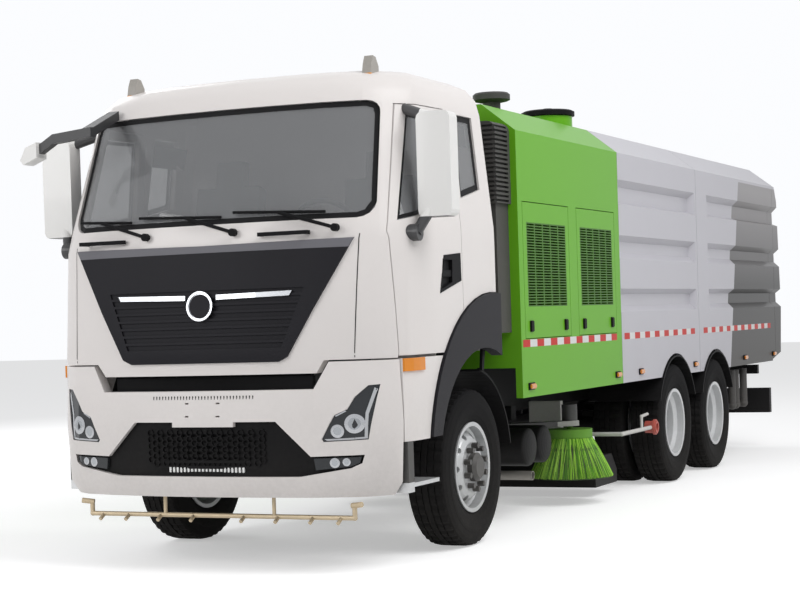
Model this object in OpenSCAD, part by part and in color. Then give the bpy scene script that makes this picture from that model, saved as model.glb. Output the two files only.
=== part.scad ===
// Three-axle street sweeper truck: cab-over chassis, engine housing, water tank,
// tipping refuse hopper, two parked side brooms and a suction nozzle between the axles.
// The truck faces -Y, +X is its left side, and it stands on Z = 0.

/* [Chassis] */
// Front axle to first rear axle
wheelbase = 4500; // [4450:10:4600]
// First rear axle to second rear axle
bogie = 1350; // [1300:10:1380]
// Bumper face ahead of the front axle
front_overhang = 1540; // [1520:5:1580]
// Tailgate behind the second rear axle
rear_overhang = 2750; // [2700:10:2850]
// Top of the frame rails above the ground
rail_top = 1040; // [1020:5:1050]
// Outer face of a frame rail from the middle
rail_x = 430; // [410:5:440]

/* [Wheels] */
// Outer radius of a tyre
tyre_r = 522; // [500:1:530]
// Width of a tyre
tyre_w = 290; // [270:1:300]
// Radius of a rim's flange
rim_r = 299; // [290:1:302]
// Middle of a front tyre from the middle of the truck
front_x = 1020; // [1010:2:1040]
// Middle of an outer rear tyre from the middle of the truck
rear_x = 1098; // [1080:2:1110]
// Distance between the middles of twin tyres
twin_gap = 336; // [330:1:345]

/* [Cab] */
// Width of the cab at its belt
cab_w = 2490; // [2440:10:2500]
// Top of the cab's roof
cab_top = 3105; // [3060:5:3140]
// Rear wall of the cab behind the front axle
cab_rear = 310; // [290:5:330]
// Thickness of the cab's walls and doors
wall = 60; // [50:2:70]

/* [Body] */
// Width over the housing, tank and hopper
body_w = 2500; // [2460:10:2540]
// Lower edge of the body's sides
body_bottom = 940; // [930:5:960]
// Height where the sides meet the sloped roof edge
eave = 2802; // [2760:2:2840]
// Height of the flat roof
roof = 3000; // [2980:5:3050]
// Front of the engine housing behind the front axle
housing_front = 700; // [690:5:720]
// Length of the engine housing
housing_len = 2260; // [2240:5:2300]
// Length of the water tank
tank_len = 2313; // [2290:1:2330]
// Depth of the pressed grooves in the tank's and hopper's sides
groove_depth = 55; // [40:5:70]

/* [Work gear] */
// Middle of a side broom from the middle of the truck
broom_x = 900; // [880:5:920]
// Middle of a side broom behind the front axle
broom_y = 2630; // [2600:10:2660]
// Radius of a broom at its bristle tips
broom_r = 330; // [300:5:340]
// Height of the bristle tips of a parked broom
broom_low = 210; // [180:5:240]

/* [Hidden] */
$fn = 48;

// Lengths along the truck are measured from the front axle and shifted by mid_y at the end
axle_1 = wheelbase;
axle_2 = wheelbase + bogie;
rear_y = axle_2 + rear_overhang;
mid_y = (rear_y - front_overhang) / 2;
// Clearance around doors and between body sections, and the overlap of a cut
gap = 6;
e = 2;

cab_hw = cab_w / 2;
cab_front = 28 - front_overhang;
cab_bottom = 1210;
cab_floor = 1500;
// Heights in the cab are given for this rise from floor to roof, and follow the roof
cab_rise = 1605;
function cab_z(z) = cab_floor + (z - cab_floor) * (cab_top - cab_floor) / cab_rise;
floor_t = 60;
// Setback of the bowed front face at its ends, and the extra setback of its rounded corners
bow = 130;
corner = 250;
rear_round = 50;
// Places across the half width where the front curve is sampled
face_t = [-1, -0.985, -0.95, -0.89, -0.8, -0.6, -0.3, 0, 0.3, 0.6, 0.8, 0.89, 0.95, 0.985, 1];
// Cab sections: height, narrowing of each side, setback of the front, setback of the rear wall
cab_sections = [
    [cab_bottom, 7, 20, 10],
    [1320, 0, 0, 0],
    [cab_z(2010), 0, 57, 0],
    [cab_z(2110), 2, 94, 0],
    [cab_top - 240, 80, 345, 0],
    [cab_top - 140, 105, 395, 5],
    [cab_top - 65, 160, 475, 40],
    [cab_top - 20, 255, 610, 120],
    [cab_top, 395, 860, 250]];
// Bumper sections: height, narrowing of each side, setback of the front
bumper_low = 462;
bumper_top = 1278;
bumper_sections = [
    [bumper_low, 55, 40],
    [540, 20, 8],
    [900, 5, 0],
    [1165, 5, 20],
    [bumper_top, 5, 26]];
bumper_rear = -1213;

// Fender and door outlines share the arc over the front wheel: place and radius seen from the side
fender_y = 200;
fender_z = 567;
fender_r = 1108;
arch_r = fender_r - 318;
door_front = -1215;
door_rear = -310;
door_bottom = 1300;
// Top of the windscreen's opening and of the doors below the roof, and the windscreen's lower edge
screen_top = cab_z(2868);
screen_low = cab_z(2137);
door_top = cab_z(2850);

body_hw = body_w / 2;
roof_hw = body_hw - 250;
body_wall = 50;
hopper_wall = 110;
deck = 1150;
housing_rear = housing_front + housing_len;
tank_front = housing_rear + gap;
tank_rear = tank_front + tank_len;
hopper_front = tank_rear + 8;
gate_y = rear_y - 300;
arch_cut_r = tyre_r + 90;
// Heights of the pressed grooves: top of slope, top of flat, bottom of flat, bottom of slope
grooves = [[2588, 2533, 2409, 2386], [2138, 2088, 1999, 1944], [1706, 1662, 1567, 1513]];
// Louvred doors: front and rear edge behind the front axle
louvre_doors = [[785, 1746], [1923, 2838]];
louvre_low = 1347;
louvre_high = 2315;
louvre_t = 40;
tip_y = rear_y - 350;
tip_z = 900;
gate_hinge_z = roof + 26;

function arc(y, z, r, a0, a1, n) =
    [for (i = [0:n]) let (a = a0 + (a1 - a0) * i / n) [y + r * cos(a), z + r * sin(a)]];
function flipped(pts) = [for (p = pts) [-p[0], p[1]]];
function cab_col(z, k) = lookup(z, [for (s = cab_sections) [s[0], s[k]]]);
function bumper_col(z, k) = lookup(z, [for (s = bumper_sections) [s[0], s[k]]]);
function heights(table, z0, z1) =
    concat([z0], [for (s = table) if (s[0] > z0 + 1 && s[0] < z1 - 1) s[0]], [z1]);
function face_y(t) = bow * t * t + corner * pow(abs(t), 10);
// One closed plan outline: bowed front, straight sides, rear corners cut off
function ring(hw, front, rear, z) = concat(
    [for (t = face_t) [hw * t, front + face_y(t), z]],
    [[hw, rear - rear_round, z], [hw - rear_round, rear, z],
     [rear_round - hw, rear, z], [-hw, rear - rear_round, z]]);
function cab_rings(z0, z1, inset) = [for (z = heights(cab_sections, z0, z1))
    ring(cab_hw - cab_col(z, 1) - inset, cab_front + cab_col(z, 2) + inset,
        cab_rear - cab_col(z, 3) - inset, z)];
function bumper_rings(z0, z1, inset) = [for (z = heights(bumper_sections, z0, z1))
    ring(cab_hw - bumper_col(z, 1) - inset, bumper_col(z, 2) - front_overhang + inset, -900, z)];
// Front surface of the cab at a place across and a height
function cab_face(x, z) = cab_front + cab_col(z, 2) + face_y(x / (cab_hw - cab_col(z, 1)));
function bumper_face(x, z) = bumper_col(z, 2) - front_overhang + face_y(x / (cab_hw - bumper_col(z, 1)));

module placed() { translate([0, -mid_y, 0]) children(); }
module both() { children(); mirror([1, 0, 0]) children(); }
module right_side(flip) { if (flip) mirror([1, 0, 0]) children(); else children(); }
// Box from its low corner to its high corner
module box(low, high) { translate(low) cube(high - low); }
// Outline seen from the side, as (y, z), thick from x0 to x1
module side_plate(x0, x1, pts) { translate([x0, 0, 0]) rotate([90, 0,
    90]) linear_extrude(x1 - x0) polygon(pts); }
// Outline seen from the front, as (x, z), thick from y0 to y1
module front_plate(y0, y1, pts) { translate([0, y1, 0]) rotate([90, 0,
    0]) linear_extrude(y1 - y0) polygon(pts); }
// Cylinder along X
module pin_x(x0, x1, y, z, r) { translate([x0, y, z]) rotate([0, 90, 0]) cylinder(r = r, h = x1 - x0); }
// Round bar from one point to another
module rod(a, b, r) {
    d = b - a;
    len = norm(d);
    translate(a) rotate([0, acos(d[2] / len), atan2(d[1], d[0])]) cylinder(r = r, h = len);
}
// Round bar through several points with ball corners
module pipe(pts, r) {
    for (i = [0:len(pts) - 2]) rod(pts[i], pts[i + 1], r);
    for (i = [1:len(pts) - 2]) translate(pts[i]) sphere(r = r * 1.1);
}
// Solid through closed outlines with equal numbers of points, bottom to top
module loft(rings) {
    n = len(rings[0]);
    m = len(rings);
    polyhedron(points = [for (r = rings) each r], faces = concat(
        [[for (i = [0:n - 1]) i], [for (i = [n - 1:-1:0]) (m - 1) * n + i]],
        [for (k = [0:m - 2]) for (i = [0:n - 1]) let (a = k * n + i, b = k * n + (i + 1) % n)
            each [[a, a + n, b], [b, a + n, b + n]]]));
}

// Channel-section frame rails, open towards the middle
rail_z = rail_top - 300;
rail_flange = 80;
rail_t = 10;
rail_front = -1250;
rail_rear = gate_y - 5;
module rails() {
    channel = [[rail_x, rail_z], [rail_x, rail_top], [rail_x - rail_flange, rail_top],
        [rail_x - rail_flange, rail_top - rail_t], [rail_x - rail_t, rail_top - rail_t],
        [rail_x - rail_t, rail_z + rail_t], [rail_x - rail_flange, rail_z + rail_t],
            [rail_x - rail_flange, rail_z]];
    color("dimgray") placed() both() front_plate(rail_front, rail_rear, channel);
}

// Cross members, tow brackets with their pin bores, the body's long bearers and the hopper's hinge pins
member_y = [rail_front, 1050, 2150, 3450, axle_1 + bogie / 2 - 60, 7100, rail_rear - 120];
tow_r = 22;
tow_z = 690;
tip_pin_r = 35;
module cross_members() {
    web = rail_x - rail_t;
    color("dimgray") placed() {
        for (y = member_y) box([-web, y, rail_z + 60], [web, y + 120, rail_top - 60]);
        // Front tow bracket below the first cross member and rear tow jaw behind the last
        difference() {
            union() {
                box([-90, rail_front - 90, tow_z - 40], [90, rail_front + 120, tow_z + 40]);
                box([-90, rail_front, tow_z], [90, rail_front + 120, rail_z + 60]);
            }
            translate([0, rail_front - 45, tow_z - 60]) cylinder(r = tow_r, h = 120);
        }
        difference() {
            box([-80, rail_rear, rail_z + 60], [80, rail_rear + 85, rail_z + 150]);
            translate([0, rail_rear + 45, rail_z + 50]) cylinder(r = tow_r, h = 120);
        }
        both() {
            box([rail_x - 80, housing_front, rail_top], [rail_x, rail_rear - 60, deck]);
            pin_x(rail_x, rail_x + 75, tip_y, tip_z, tip_pin_r);
            // Hanger and pin of a broom arm
            box([rail_x, arm_pivot[1] - 50, 690], [arm_pivot[0] + 50, arm_pivot[1] + 50, 800]);
            translate([arm_pivot[0], arm_pivot[1], arm_z - 8]) cylinder(r = arm_pin_r, h = 80);
            translate([arm_pivot[0], arm_pivot[1], arm_z - 18]) cylinder(r = 42, h = 11);
        }
        both() box([rail_x, tip_y - 260, rail_z + 70], [1120, tip_y - 190, rail_z + 165]);
    }
}

// Forged front beam with kingpin eyes, two driven rear axles and the shafts that turn them
kingpin_x = front_x - 140;
kingpin_r = 34;
eye_r = 52;
eye_h = 100;
hub_r = 60;
rear_bulb = 190;
seat_z = tyre_r + 110;
module axles() {
    color([0.16, 0.16, 0.17]) placed() {
        difference() {
            union() {
                box([-kingpin_x, -45, tyre_r - 75], [kingpin_x, 45, tyre_r + 35]);
                both() translate([kingpin_x, 0, tyre_r - eye_h / 2]) cylinder(r = eye_r, h = eye_h);
            }
            box([-kingpin_x + 170, -60, tyre_r - 80], [kingpin_x - 170, -18, tyre_r + 10]);
            box([-kingpin_x + 170, 18, tyre_r - 80], [kingpin_x - 170, 60, tyre_r + 10]);
            both() translate([kingpin_x, 0, tyre_r - eye_h]) cylinder(r = kingpin_r + 1, h = 2 * eye_h);
            both() box([kingpin_x - 46, -60, tyre_r + eye_h / 2], [kingpin_x + 60, 60, tyre_r + 120]);
            both() box([kingpin_x - 60, -60, tyre_r - 120], [kingpin_x + 60, 60, tyre_r - eye_h / 2]);
        }
        for (y = [axle_1, axle_2]) union() {
            translate([0, y, tyre_r]) sphere(r = rear_bulb);
            pin_x(-580, 580, y, tyre_r, 78);
            pin_x(-rear_x, rear_x, y, tyre_r, hub_r - 2);
        }
        rod([0, 1004, 740], [0, axle_1 - rear_bulb + 40, tyre_r + 40], 58);
        rod([0, axle_1 + rear_bulb - 40, tyre_r], [0, axle_2 - rear_bulb + 40, tyre_r], 58);
        // Spring seats on the rear axles
        for (y = [axle_1, axle_2]) both() box([spring_x[0], y - 60, tyre_r + 60], [spring_x[1],
            y + 60, seat_z]);
    }
}

// Leaf packs seen from the side: eye span, leaf thickness and arch height
spring_x = [rail_x - 50, rail_x + 45];
module leaf_pack(y, span, z, t, rise) {
    n = 8;
    top = [for (i = [-n:n]) [y + span * i / n, z + t + rise * i * i / (n * n)]];
    low = [for (i = [n:-1:-n]) [y + span * i / n, z + rise * i * i / (n * n)
        + t * max(0, abs(i) / n - 0.25) / 0.9]];
    side_plate(spring_x[0], spring_x[1], concat(top, low));
}
module leaf_springs() {
    color([0.13, 0.13, 0.14]) placed() both() {
        leaf_pack(0, 700, tyre_r + 35, 75, 85);
        for (y = [-680, 650]) box([spring_x[0], y, 690], [spring_x[1], y + 30, rail_z]);
        leaf_pack((axle_1 + axle_2) / 2, bogie / 2 + 40, seat_z + 30, 70, -30);
        box([spring_x[0], (axle_1 + axle_2) / 2 - 70, seat_z + 90], [spring_x[1],
            (axle_1 + axle_2) / 2 + 70, rail_z]);
    }
}

// Drive engine with its gearbox under the cab, and the work engine in the housing, as plain blocks
module engines() {
    color([0.25, 0.27, 0.28]) placed() {
        union() {
            box([-330, -950, 640], [330, 190, 1400]);
            box([-240, 190, 640], [240, 1000, 980]);
        }
        box([10 - rail_x, -400, 800], [rail_x - 10, -300, 900]);
        box([-420, 950, deck], [420, 2300, 2250]);
    }
}

// Two transverse air vessels with domed ends on the left, and the fuel tank on the right
air_tank_y = [1533, 1856];
air_tank_r = 142;
air_tank_x = 1000;
module tanks() {
    dome = 45;
    vessel = concat([[0, 0]], [for (a = [0:15:90]) [air_tank_r * sin(a), dome * (1 - cos(a))]],
        [for (a = [90:-15:0]) [air_tank_r * sin(a), air_tank_x - rail_x - 20 - dome * (1 - cos(a))]]);
    color([0.09, 0.09, 0.1]) placed() {
        for (y = air_tank_y) translate([rail_x + 20, y, 535]) rotate([0, 90,
            0]) rotate_extrude() polygon(vessel);
        side_plate(-1190, -rail_x, concat(arc(1900, 480, 70, -90, 0, 4), arc(1900, 880, 70, 0, 90, 4),
            arc(1300, 880, 70, 90, 180, 4), arc(1300, 480, 70, 180, 270, 4)));
        box([rail_x, air_tank_y[0] - 60, 660], [rail_x + 160, air_tank_y[1] + 60, 790]);
    }
}

// Silencer under the frame and the tail pipe that ends below the left side
pipe_y = 1450;
pipe_z = 330;
module exhaust() {
    color([0.5, 0.5, 0.48]) placed() {
        difference() {
            union() {
                pin_x(150, air_tank_x + 20, pipe_y, pipe_z, 34);
                pin_x(-380, 200, pipe_y, pipe_z + 90, 140);
                box([-rail_x + 20, pipe_y - 40, pipe_z + 90], [-rail_x + 60, pipe_y + 40, rail_z]);
            }
            pin_x(600, air_tank_x + 30, pipe_y, pipe_z, 29);
        }
    }
}

// Arched guards over the wheels: middle along the truck, inner radius, start and end angle, inner and
// outer x
guard_t = 14;
guards = [
    [0, tyre_r + 120, 10, 80, 830, 1170],
    [axle_1, tyre_r + 62, 22, 158, 610, body_hw + 12],
    [axle_2, tyre_r + 62, 22, 158, 610, body_hw + 12]];
module mudguards() {
    color([0.08, 0.08, 0.09]) placed() both() for (g = guards) {
        side_plate(g[4], g[5], concat(arc(g[0], tyre_r, g[1] + guard_t, g[2], g[3], 14),
            arc(g[0], tyre_r, g[1], g[3], g[2], 14)));
        // Stays from the frame, and from the front guard to the fender
        if (g[0] == 0) {
            box([rail_x, 430, 950], [g[4] + 20, 470, 1000]);
            side_plate(cab_hw - wall - 20, cab_hw - wall, [for (p = [[656, 76.5], [800, 76.5],
                [800, 79.5], [656, 79.5]])
                [p[0] * cos(p[1]), tyre_r + p[0] * sin(p[1])]]);
            side_plate(1150, cab_hw - wall, [for (p = [[650, 76.5], [664, 76.5], [664, 79.5], [650, 79.5]])
                [p[0] * cos(p[1]), tyre_r + p[0] * sin(p[1])]]);
        } else box([rail_x, g[0] - 30, tyre_r + g[1]], [g[4] + 20, g[0] + 30, tyre_r + g[1] + guard_t]);
    }
}

// Rear under-run plate on two hangers below the rails
guard_low = 374;
guard_high = 640;
module rear_guard() {
    color([0.1, 0.1, 0.11]) placed() {
        difference() {
            box([-1150, rear_y - 220, guard_low], [1150, rear_y - 140, guard_high]);
            both() box([700, rear_y - 158, guard_low + 70], [1080, rear_y - 130, guard_high - 70]);
        }
        both() box([rail_x - 85, rail_rear - 90, guard_low + 60], [rail_x, rear_y - 220, rail_z]);
    }
}

// Openings in the bumper as (x, z): the lower grille with its lamp slits, and one headlamp
grille_open = [[-500, 925], [-216, 925], [-216, 895], [216, 895], [216, 925], [500, 925], [720, 712],
    [1035, 718],
    [1020, 668], [960, 640], [640, 590], [-640, 590], [-960, 640], [-1020, 668], [-1035, 718], [-720, 712]];
headlamp_open = [[1119, 1135], [1058, 1131], [990, 1065], [945, 992], [868, 958], [790, 815],
    [800, 799], [1058, 808]];
plate_slots = [[-110, 960], [110, 960], [-110, 1040], [110, 1040]];
slot_r = 5;
bumper_t = 70;
module bumper() {
    color("white") placed() difference() {
        loft(bumper_rings(bumper_low, bumper_top, 0));
        loft(bumper_rings(bumper_low - 10, bumper_top + 10, bumper_t));
        box([-1400, bumper_rear, 0], [1400, 0, 2000]);
        front_plate(-1700, -1000, [[-745, 1115], [745, 1115], [850, 1300], [-850, 1300]]);
        front_plate(-1700, -1000, grille_open);
        front_plate(-1700, -1200, headlamp_open);
        front_plate(-1700, -1200, flipped(headlamp_open));
        for (p = plate_slots) {
            box([p[0] - 9, -1700, p[1] - slot_r], [p[0] + 9, -1400, p[1] + slot_r]);
            for (s = [-9, 9]) translate([p[0] + s, -1400, p[1]]) rotate([90, 0, 0]) cylinder(r = slot_r,
                h = 300);
        }
    }
}

// Dark mesh, cheeks and fog lamp pods that fill the bumper's lower opening, and the beam behind the top
// slot
module bumper_grille() {
    mesh_rows = 8;
    row = (885 - 600) / mesh_rows;
    color([0.07, 0.07, 0.08]) placed() {
        difference() {
            intersection() {
                front_plate(-1700, -1000, [for (p = grille_open)
                    [p[0] * (abs(p[0]) < 300 ? 1.002 : 0.9995), p[1] < 700 ? p[1] + 0.3 : p[1] - 0.3]]);
                difference() {
                    loft(bumper_rings(560, 960, 30));
                    loft(bumper_rings(550, 970, bumper_t - 4));
                }
            }
            for (i = [0:mesh_rows - 2]) {
                z = 612 + row * (i + 0.2);
                front_plate(-1700, -1490, [[-430, z], [430, z], [430, z + row * 0.5],
                    [-430, z + row * 0.5]]);
            }
        }
        box([-700, -1395, 1080], [700, -1355, 1195]);
        box([-690, -1372, 1190], [690, -1355, 1240]);
        // Brackets that carry the bumper on the rails
        both() box([rail_x - 70, -1454, rail_z + 20], [rail_x - 12, rail_front, rail_z + 120]);
    }
}

// Clear headlamp and fog lamp covers set into the bumper, and amber indicators under the doors
fog_open = [[735, 700], [1015, 706], [1002, 668], [950, 648], [745, 630]];
module front_lamps() {
    color([0.55, 0.58, 0.6]) placed() both() {
        intersection() {
            front_plate(-1700, -1200, [for (p = headlamp_open) [957 + (p[0] - 957) * 0.998,
                965 + (p[1] - 965) * 0.998]]);
            difference() {
                loft(bumper_rings(780, 1150, 6));
                loft(bumper_rings(770, 1160, 50));
            }
        }
        intersection() {
            front_plate(-1700, -1150, fog_open);
            difference() {
                loft(bumper_rings(600, 730, 8));
                loft(bumper_rings(590, 740, 29.7));
            }
        }
        difference() {
            translate([0, 0, 1204]) linear_extrude(78) polygon(panel_plan(14));
            translate([0, 0, 1200]) linear_extrude(90) polygon(panel_plan(0));
            box([1100, -962, 1190], [1400, -600, 1300]);
        }
    }
}

// Spray bar below the bumper: a straight pipe with turned-up ends, nozzles and two hangers
bar_y = -1365;
bar_z = 334;
bar_x = 941;
module spray_bar() {
    color([0.8, 0.7, 0.55]) placed() {
        pipe([[-bar_x, bar_y, bar_z + 75], [-bar_x, bar_y, bar_z], [bar_x, bar_y, bar_z],
            [bar_x, bar_y, bar_z + 75]], 15);
        both() {
            rod([bar_x - 15, bar_y, bar_z + 75], [bar_x + 60, bar_y - 25, bar_z + 85], 17);
            for (x = [180, 420, 660, 850]) rod([x, bar_y, bar_z], [x, bar_y - 50, bar_z - 30], 12);
            rod([rail_x - 40, bar_y, bar_z], [rail_x - 40, bar_y, rail_z + 20], 12);
        }
    }
}

// Lower boarding steps: a ribbed tread on a dark bracket behind the bumper's corner
module steps() {
    color([0.6, 0.6, 0.6]) placed() both() difference() {
        union() {
            box([960, -1110, 500], [1225, -735, 524]);
            box([960, -1190, 470], [1010, -735, 524]);
            box([960, -1190, 470], [1225, -1110, 780]);
            box([rail_x, -1180, 720], [1010, -1110, 780]);
        }
        for (y = [-1090:60:-780]) box([1030, y, 490], [1205, y + 30, 530]);
    }
}

// Cross-section of the housing, tank and hopper, drawn in by an inset
function body_section(in, low) = [[-body_hw + in, low], [body_hw - in, low],
    [body_hw - in, eave - in * 0.4],
    [roof_hw - in * 0.4, roof - in], [in * 0.4 - roof_hw, roof - in], [in - body_hw, eave - in * 0.4]];
// One pressed groove along the left side, from y0 to y1, with sloped ends where asked
module groove(g, y0, y1, end0, end1) {
    d = groove_depth;
    s0 = end0 ? d : 0;
    s1 = end1 ? d : 0;
    intersection() {
        front_plate(y0 - e, y1 + e, [[body_hw + e, g[0]], [body_hw - d, g[1]], [body_hw - d, g[2]],
            [body_hw + e, g[3]]]);
        translate([0, 0, g[3] - e]) linear_extrude(g[0] - g[3] + 2 * e)
            polygon([[body_hw - d, y0 + s0], [body_hw - d, y1 - s1], [body_hw + e, y1], [body_hw + e, y0]]);
    }
}

// Engine housing: a roofed shell, open below, with a doorway for each louvred door
vent_x = 800;
vent_y = 1407;
hatch_x = 760;
hatch_y = 2720;
hatch_r = 215;
// Height of the collar under the hatch and of the hinge above the roof
hatch_h = 96;
hatch_hinge_z = roof + hatch_h + 22;
hatch_hinge_x = hatch_x - hatch_r - 20;
module housing() {
    color([0.35, 0.75, 0.12]) placed() {
        // Ears of the hatch's hinge
        for (s = [-102, 76]) box([hatch_hinge_x - 24, hatch_y + s, roof],
            [hatch_hinge_x + 24, hatch_y + s + 26, hatch_hinge_z + 18]);
        difference() {
            union() {
                front_plate(housing_front, housing_rear, body_section(0, body_bottom));
                translate([hatch_x, hatch_y, roof - 20]) cylinder(r = hatch_r - 20, h = hatch_h + 20);
            }
            front_plate(housing_front + body_wall, housing_rear - body_wall,
                body_section(body_wall, body_bottom - 10));
            box([body_wall - body_hw, housing_front - e, 0], [body_hw - body_wall, housing_rear + e, deck]);
            both() for (d = louvre_doors)
                box([body_hw - body_wall - e, d[0], louvre_low], [body_hw + e, d[1], louvre_high]);
            translate([hatch_x, hatch_y, roof - 100]) cylinder(r = hatch_r - 35, h = 200);
        }
    }
}

// Ribbed intake tower behind the cab and the vent cap on the housing's roof
module air_intakes() {
    top = 2850;
    ribs = 17;
    pitch = 540 / ribs;
    color([0.08, 0.08, 0.09]) placed() {
        difference() {
            union() {
                front_plate(430, housing_front, concat([[900, 2290], [1205, 2290]],
                    arc(1145, top - 60, 60, 0, 90, 4),
                    arc(960, top - 60, 60, 90, 180, 4)));
                box([940, 470, 1400], [1180, housing_front, 2290]);
                box([500, 520, 1400], [940, housing_front, 1560]);
            }
            for (i = [0:ribs - 1]) box([1180, 400, 2300 + pitch * i],
                [1220, 660, 2300 + pitch * (i + 0.5)]);
            for (i = [0:ribs - 1]) box([880, 400, 2300 + pitch * i], [1220, 450, 2300 + pitch * (i + 0.5)]);
        }
        translate([vent_x, vent_y, roof]) rotate_extrude() polygon([[0, 0], [112, 0], [112, 12],
            [66, 20], [66, 88],
            [122, 100], [138, 108], [138, 146], [122, 160], [70, 166], [0, 168]]);
    }
}

// Water tank: solid to its deck, with side skirts cut round the first rear wheels
module water_tank() {
    color([0.72, 0.73, 0.77]) placed() difference() {
        front_plate(tank_front, tank_rear, body_section(0, body_bottom));
        box([body_wall - body_hw, tank_front - e, 0], [body_hw - body_wall, tank_rear + e, deck]);
        pin_x(-body_hw - e, body_hw + e, axle_1, tyre_r, arch_cut_r);
        for (g = grooves) both() groove(g, tank_front, tank_rear - 48, false, true);
    }
}

// Tipping hopper: hollow, open at the rear, with hinge lugs below and lid barrels above
lug_x = [rail_x + 12, rail_x + 62];
hinge_lugs = [-820, -300, 220, 740];
module gate_barrels(from) {
    for (x = hinge_lugs) pin_x(x + from, x + from + 38, gate_y + gap / 2, gate_hinge_z, 22);
}
module hopper() {
    tail = [[gate_y - 140, body_bottom - 10], [gate_y + 10, body_bottom - 10], [gate_y + 10, 985],
        [gate_y - 137, 957]];
    color([0.72, 0.73, 0.77]) placed() {
        difference() {
            union() {
                front_plate(hopper_front, gate_y, body_section(0, body_bottom));
                gate_barrels(0);
                for (x = hinge_lugs) box([x, gate_y - 60, roof - 10],
                    [x + 38, gate_y - 12, gate_hinge_z + 10]);
                for (x = hinge_lugs) box([x, gate_y - 60, gate_hinge_z - 10],
                    [x + 38, gate_y, gate_hinge_z + 10]);
            }
            front_plate(hopper_front + hopper_wall, gate_y + e, body_section(hopper_wall, deck + 80));
            box([body_wall - body_hw, hopper_front - e, 0], [body_hw - body_wall, gate_y + e, deck + gap]);
            pin_x(-body_hw - e, body_hw + e, axle_2, tyre_r, arch_cut_r);
            side_plate(-body_hw - e, body_hw + e, tail);
            for (g = grooves) both() groove(g, hopper_front + 362, gate_y, true, false);
            for (x = hinge_lugs) pin_x(x - e, x + 40, gate_y + gap / 2, gate_hinge_z, 10);
        }
        both() difference() {
            side_plate(lug_x[0], lug_x[1], concat([[tip_y + 35, deck + 10], [tip_y - 150, deck + 10]],
                arc(tip_y, tip_z, 52, 180, 360, 12)));
            pin_x(lug_x[0] - e, lug_x[1] + e, tip_y, tip_z, tip_pin_r + 1);
        }
    }
}

// Tailgate: a deep dished door hung from the roof's rear edge
module tailgate() {
    y0 = gate_y + gap;
    profile = [[y0, 985], [rear_y - 59, 1024], [rear_y, 1524], [rear_y - 95, 2648], [rear_y - 190, eave],
        [rear_y - 235, roof], [y0, roof]];
    color([0.3, 0.31, 0.33]) placed() difference() {
        union() {
            intersection() {
                front_plate(y0, rear_y + e, body_section(0, body_bottom));
                side_plate(-body_hw - e, body_hw + e, profile);
            }
            gate_barrels(42);
            for (x = hinge_lugs) box([x + 42, gate_y + gap / 2, gate_hinge_z - 10],
                [x + 80, y0 + 40, gate_hinge_z + 10]);
            for (x = hinge_lugs) box([x + 42, y0 + 20, roof - 10], [x + 80, y0 + 40, gate_hinge_z + 10]);
        }
        front_plate(y0 - e, y0 + 60, body_section(hopper_wall, deck + 80));
        for (g = grooves) both() groove(g, y0 - e, rear_y, false, false);
        for (x = hinge_lugs) pin_x(x + 40, x + 82, gate_y + gap / 2, gate_hinge_z, 10);
    }
}

// Louvred door: a flat leaf with rows of through slots, hung along its top edge
slot_cols = 5;
slot_rows = 30;
slot_low = 1580;
slot_high = 2165;
module louvre_door(door, flip) {
    y0 = louvre_doors[door][0] + gap;
    y1 = louvre_doors[door][1] - gap;
    field = [y0 + 70, y1 - 70];
    col = (field[1] - field[0]) / slot_cols;
    row = (slot_high - slot_low) / slot_rows;
    color([0.35, 0.75, 0.12]) placed() right_side(flip) {
        translate([body_hw - louvre_t, 0, 0]) rotate([90, 0, 90]) linear_extrude(louvre_t) difference() {
            polygon([[y0, louvre_low + gap], [y1, louvre_low + gap], [y1, louvre_high - gap],
                [y0, louvre_high - gap]]);
            for (c = [0:slot_cols - 1]) for (r = [0:slot_rows - 1])
                translate([field[0] + col * (c + 0.06), slot_low + row * (r + 0.2)]) square([col * 0.88,
                    row * 0.55]);
        }
    }
}
module louvre_door_1_left() { louvre_door(0, false); }
module louvre_door_1_right() { louvre_door(0, true); }
module louvre_door_2_left() { louvre_door(1, false); }
module louvre_door_2_right() { louvre_door(1, true); }

// Round roof hatch with a domed lid, a grip and a hinge barrel towards the middle
module roof_hatch() {
    color([0.12, 0.12, 0.13]) placed() {
        translate([hatch_x, hatch_y, roof + hatch_h + gap]) rotate_extrude()
            polygon([[0, 0], [hatch_r, 0], [hatch_r, 34], [hatch_r - 25, 46], [90, 54], [38, 55],
                [38, 66], [0, 66]]);
        rod([hatch_hinge_x, hatch_y - 70, hatch_hinge_z], [hatch_hinge_x, hatch_y + 70, hatch_hinge_z], 14);
        box([hatch_hinge_x, hatch_y - 70, hatch_hinge_z - 12],
            [hatch_x - hatch_r + 30, hatch_y + 70, hatch_hinge_z + 12]);
    }
}

// Windscreen outline as (x, z), drawn in by an inset
function screen_outline(in) = concat(arc(985, screen_low + 95, 95 - in, -90, 0, 4),
    arc(955, screen_top - 78, 78 - in, 0, 90, 4), arc(-955, screen_top - 78, 78 - in, 90, 180, 4),
    arc(-985, screen_low + 95, 95 - in, 180, 270, 4));
// Side windows as (y, z): the cab's quarter window and the door's window
function quarter_window(in) = [[-250 + in, screen_low + 148 + in], [95 - in, screen_low + 219 + in],
    [105 - in, door_top - 12 - in], [-205 + in, door_top - 12 - in]];
function door_window(in) = [[-1148 + 2 * in, screen_low - 23 + in], [-388 - in, screen_low + 125 + in],
    [-388 - in, door_top - 52 - in], [-880 + in, door_top - 60 - in]];
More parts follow.
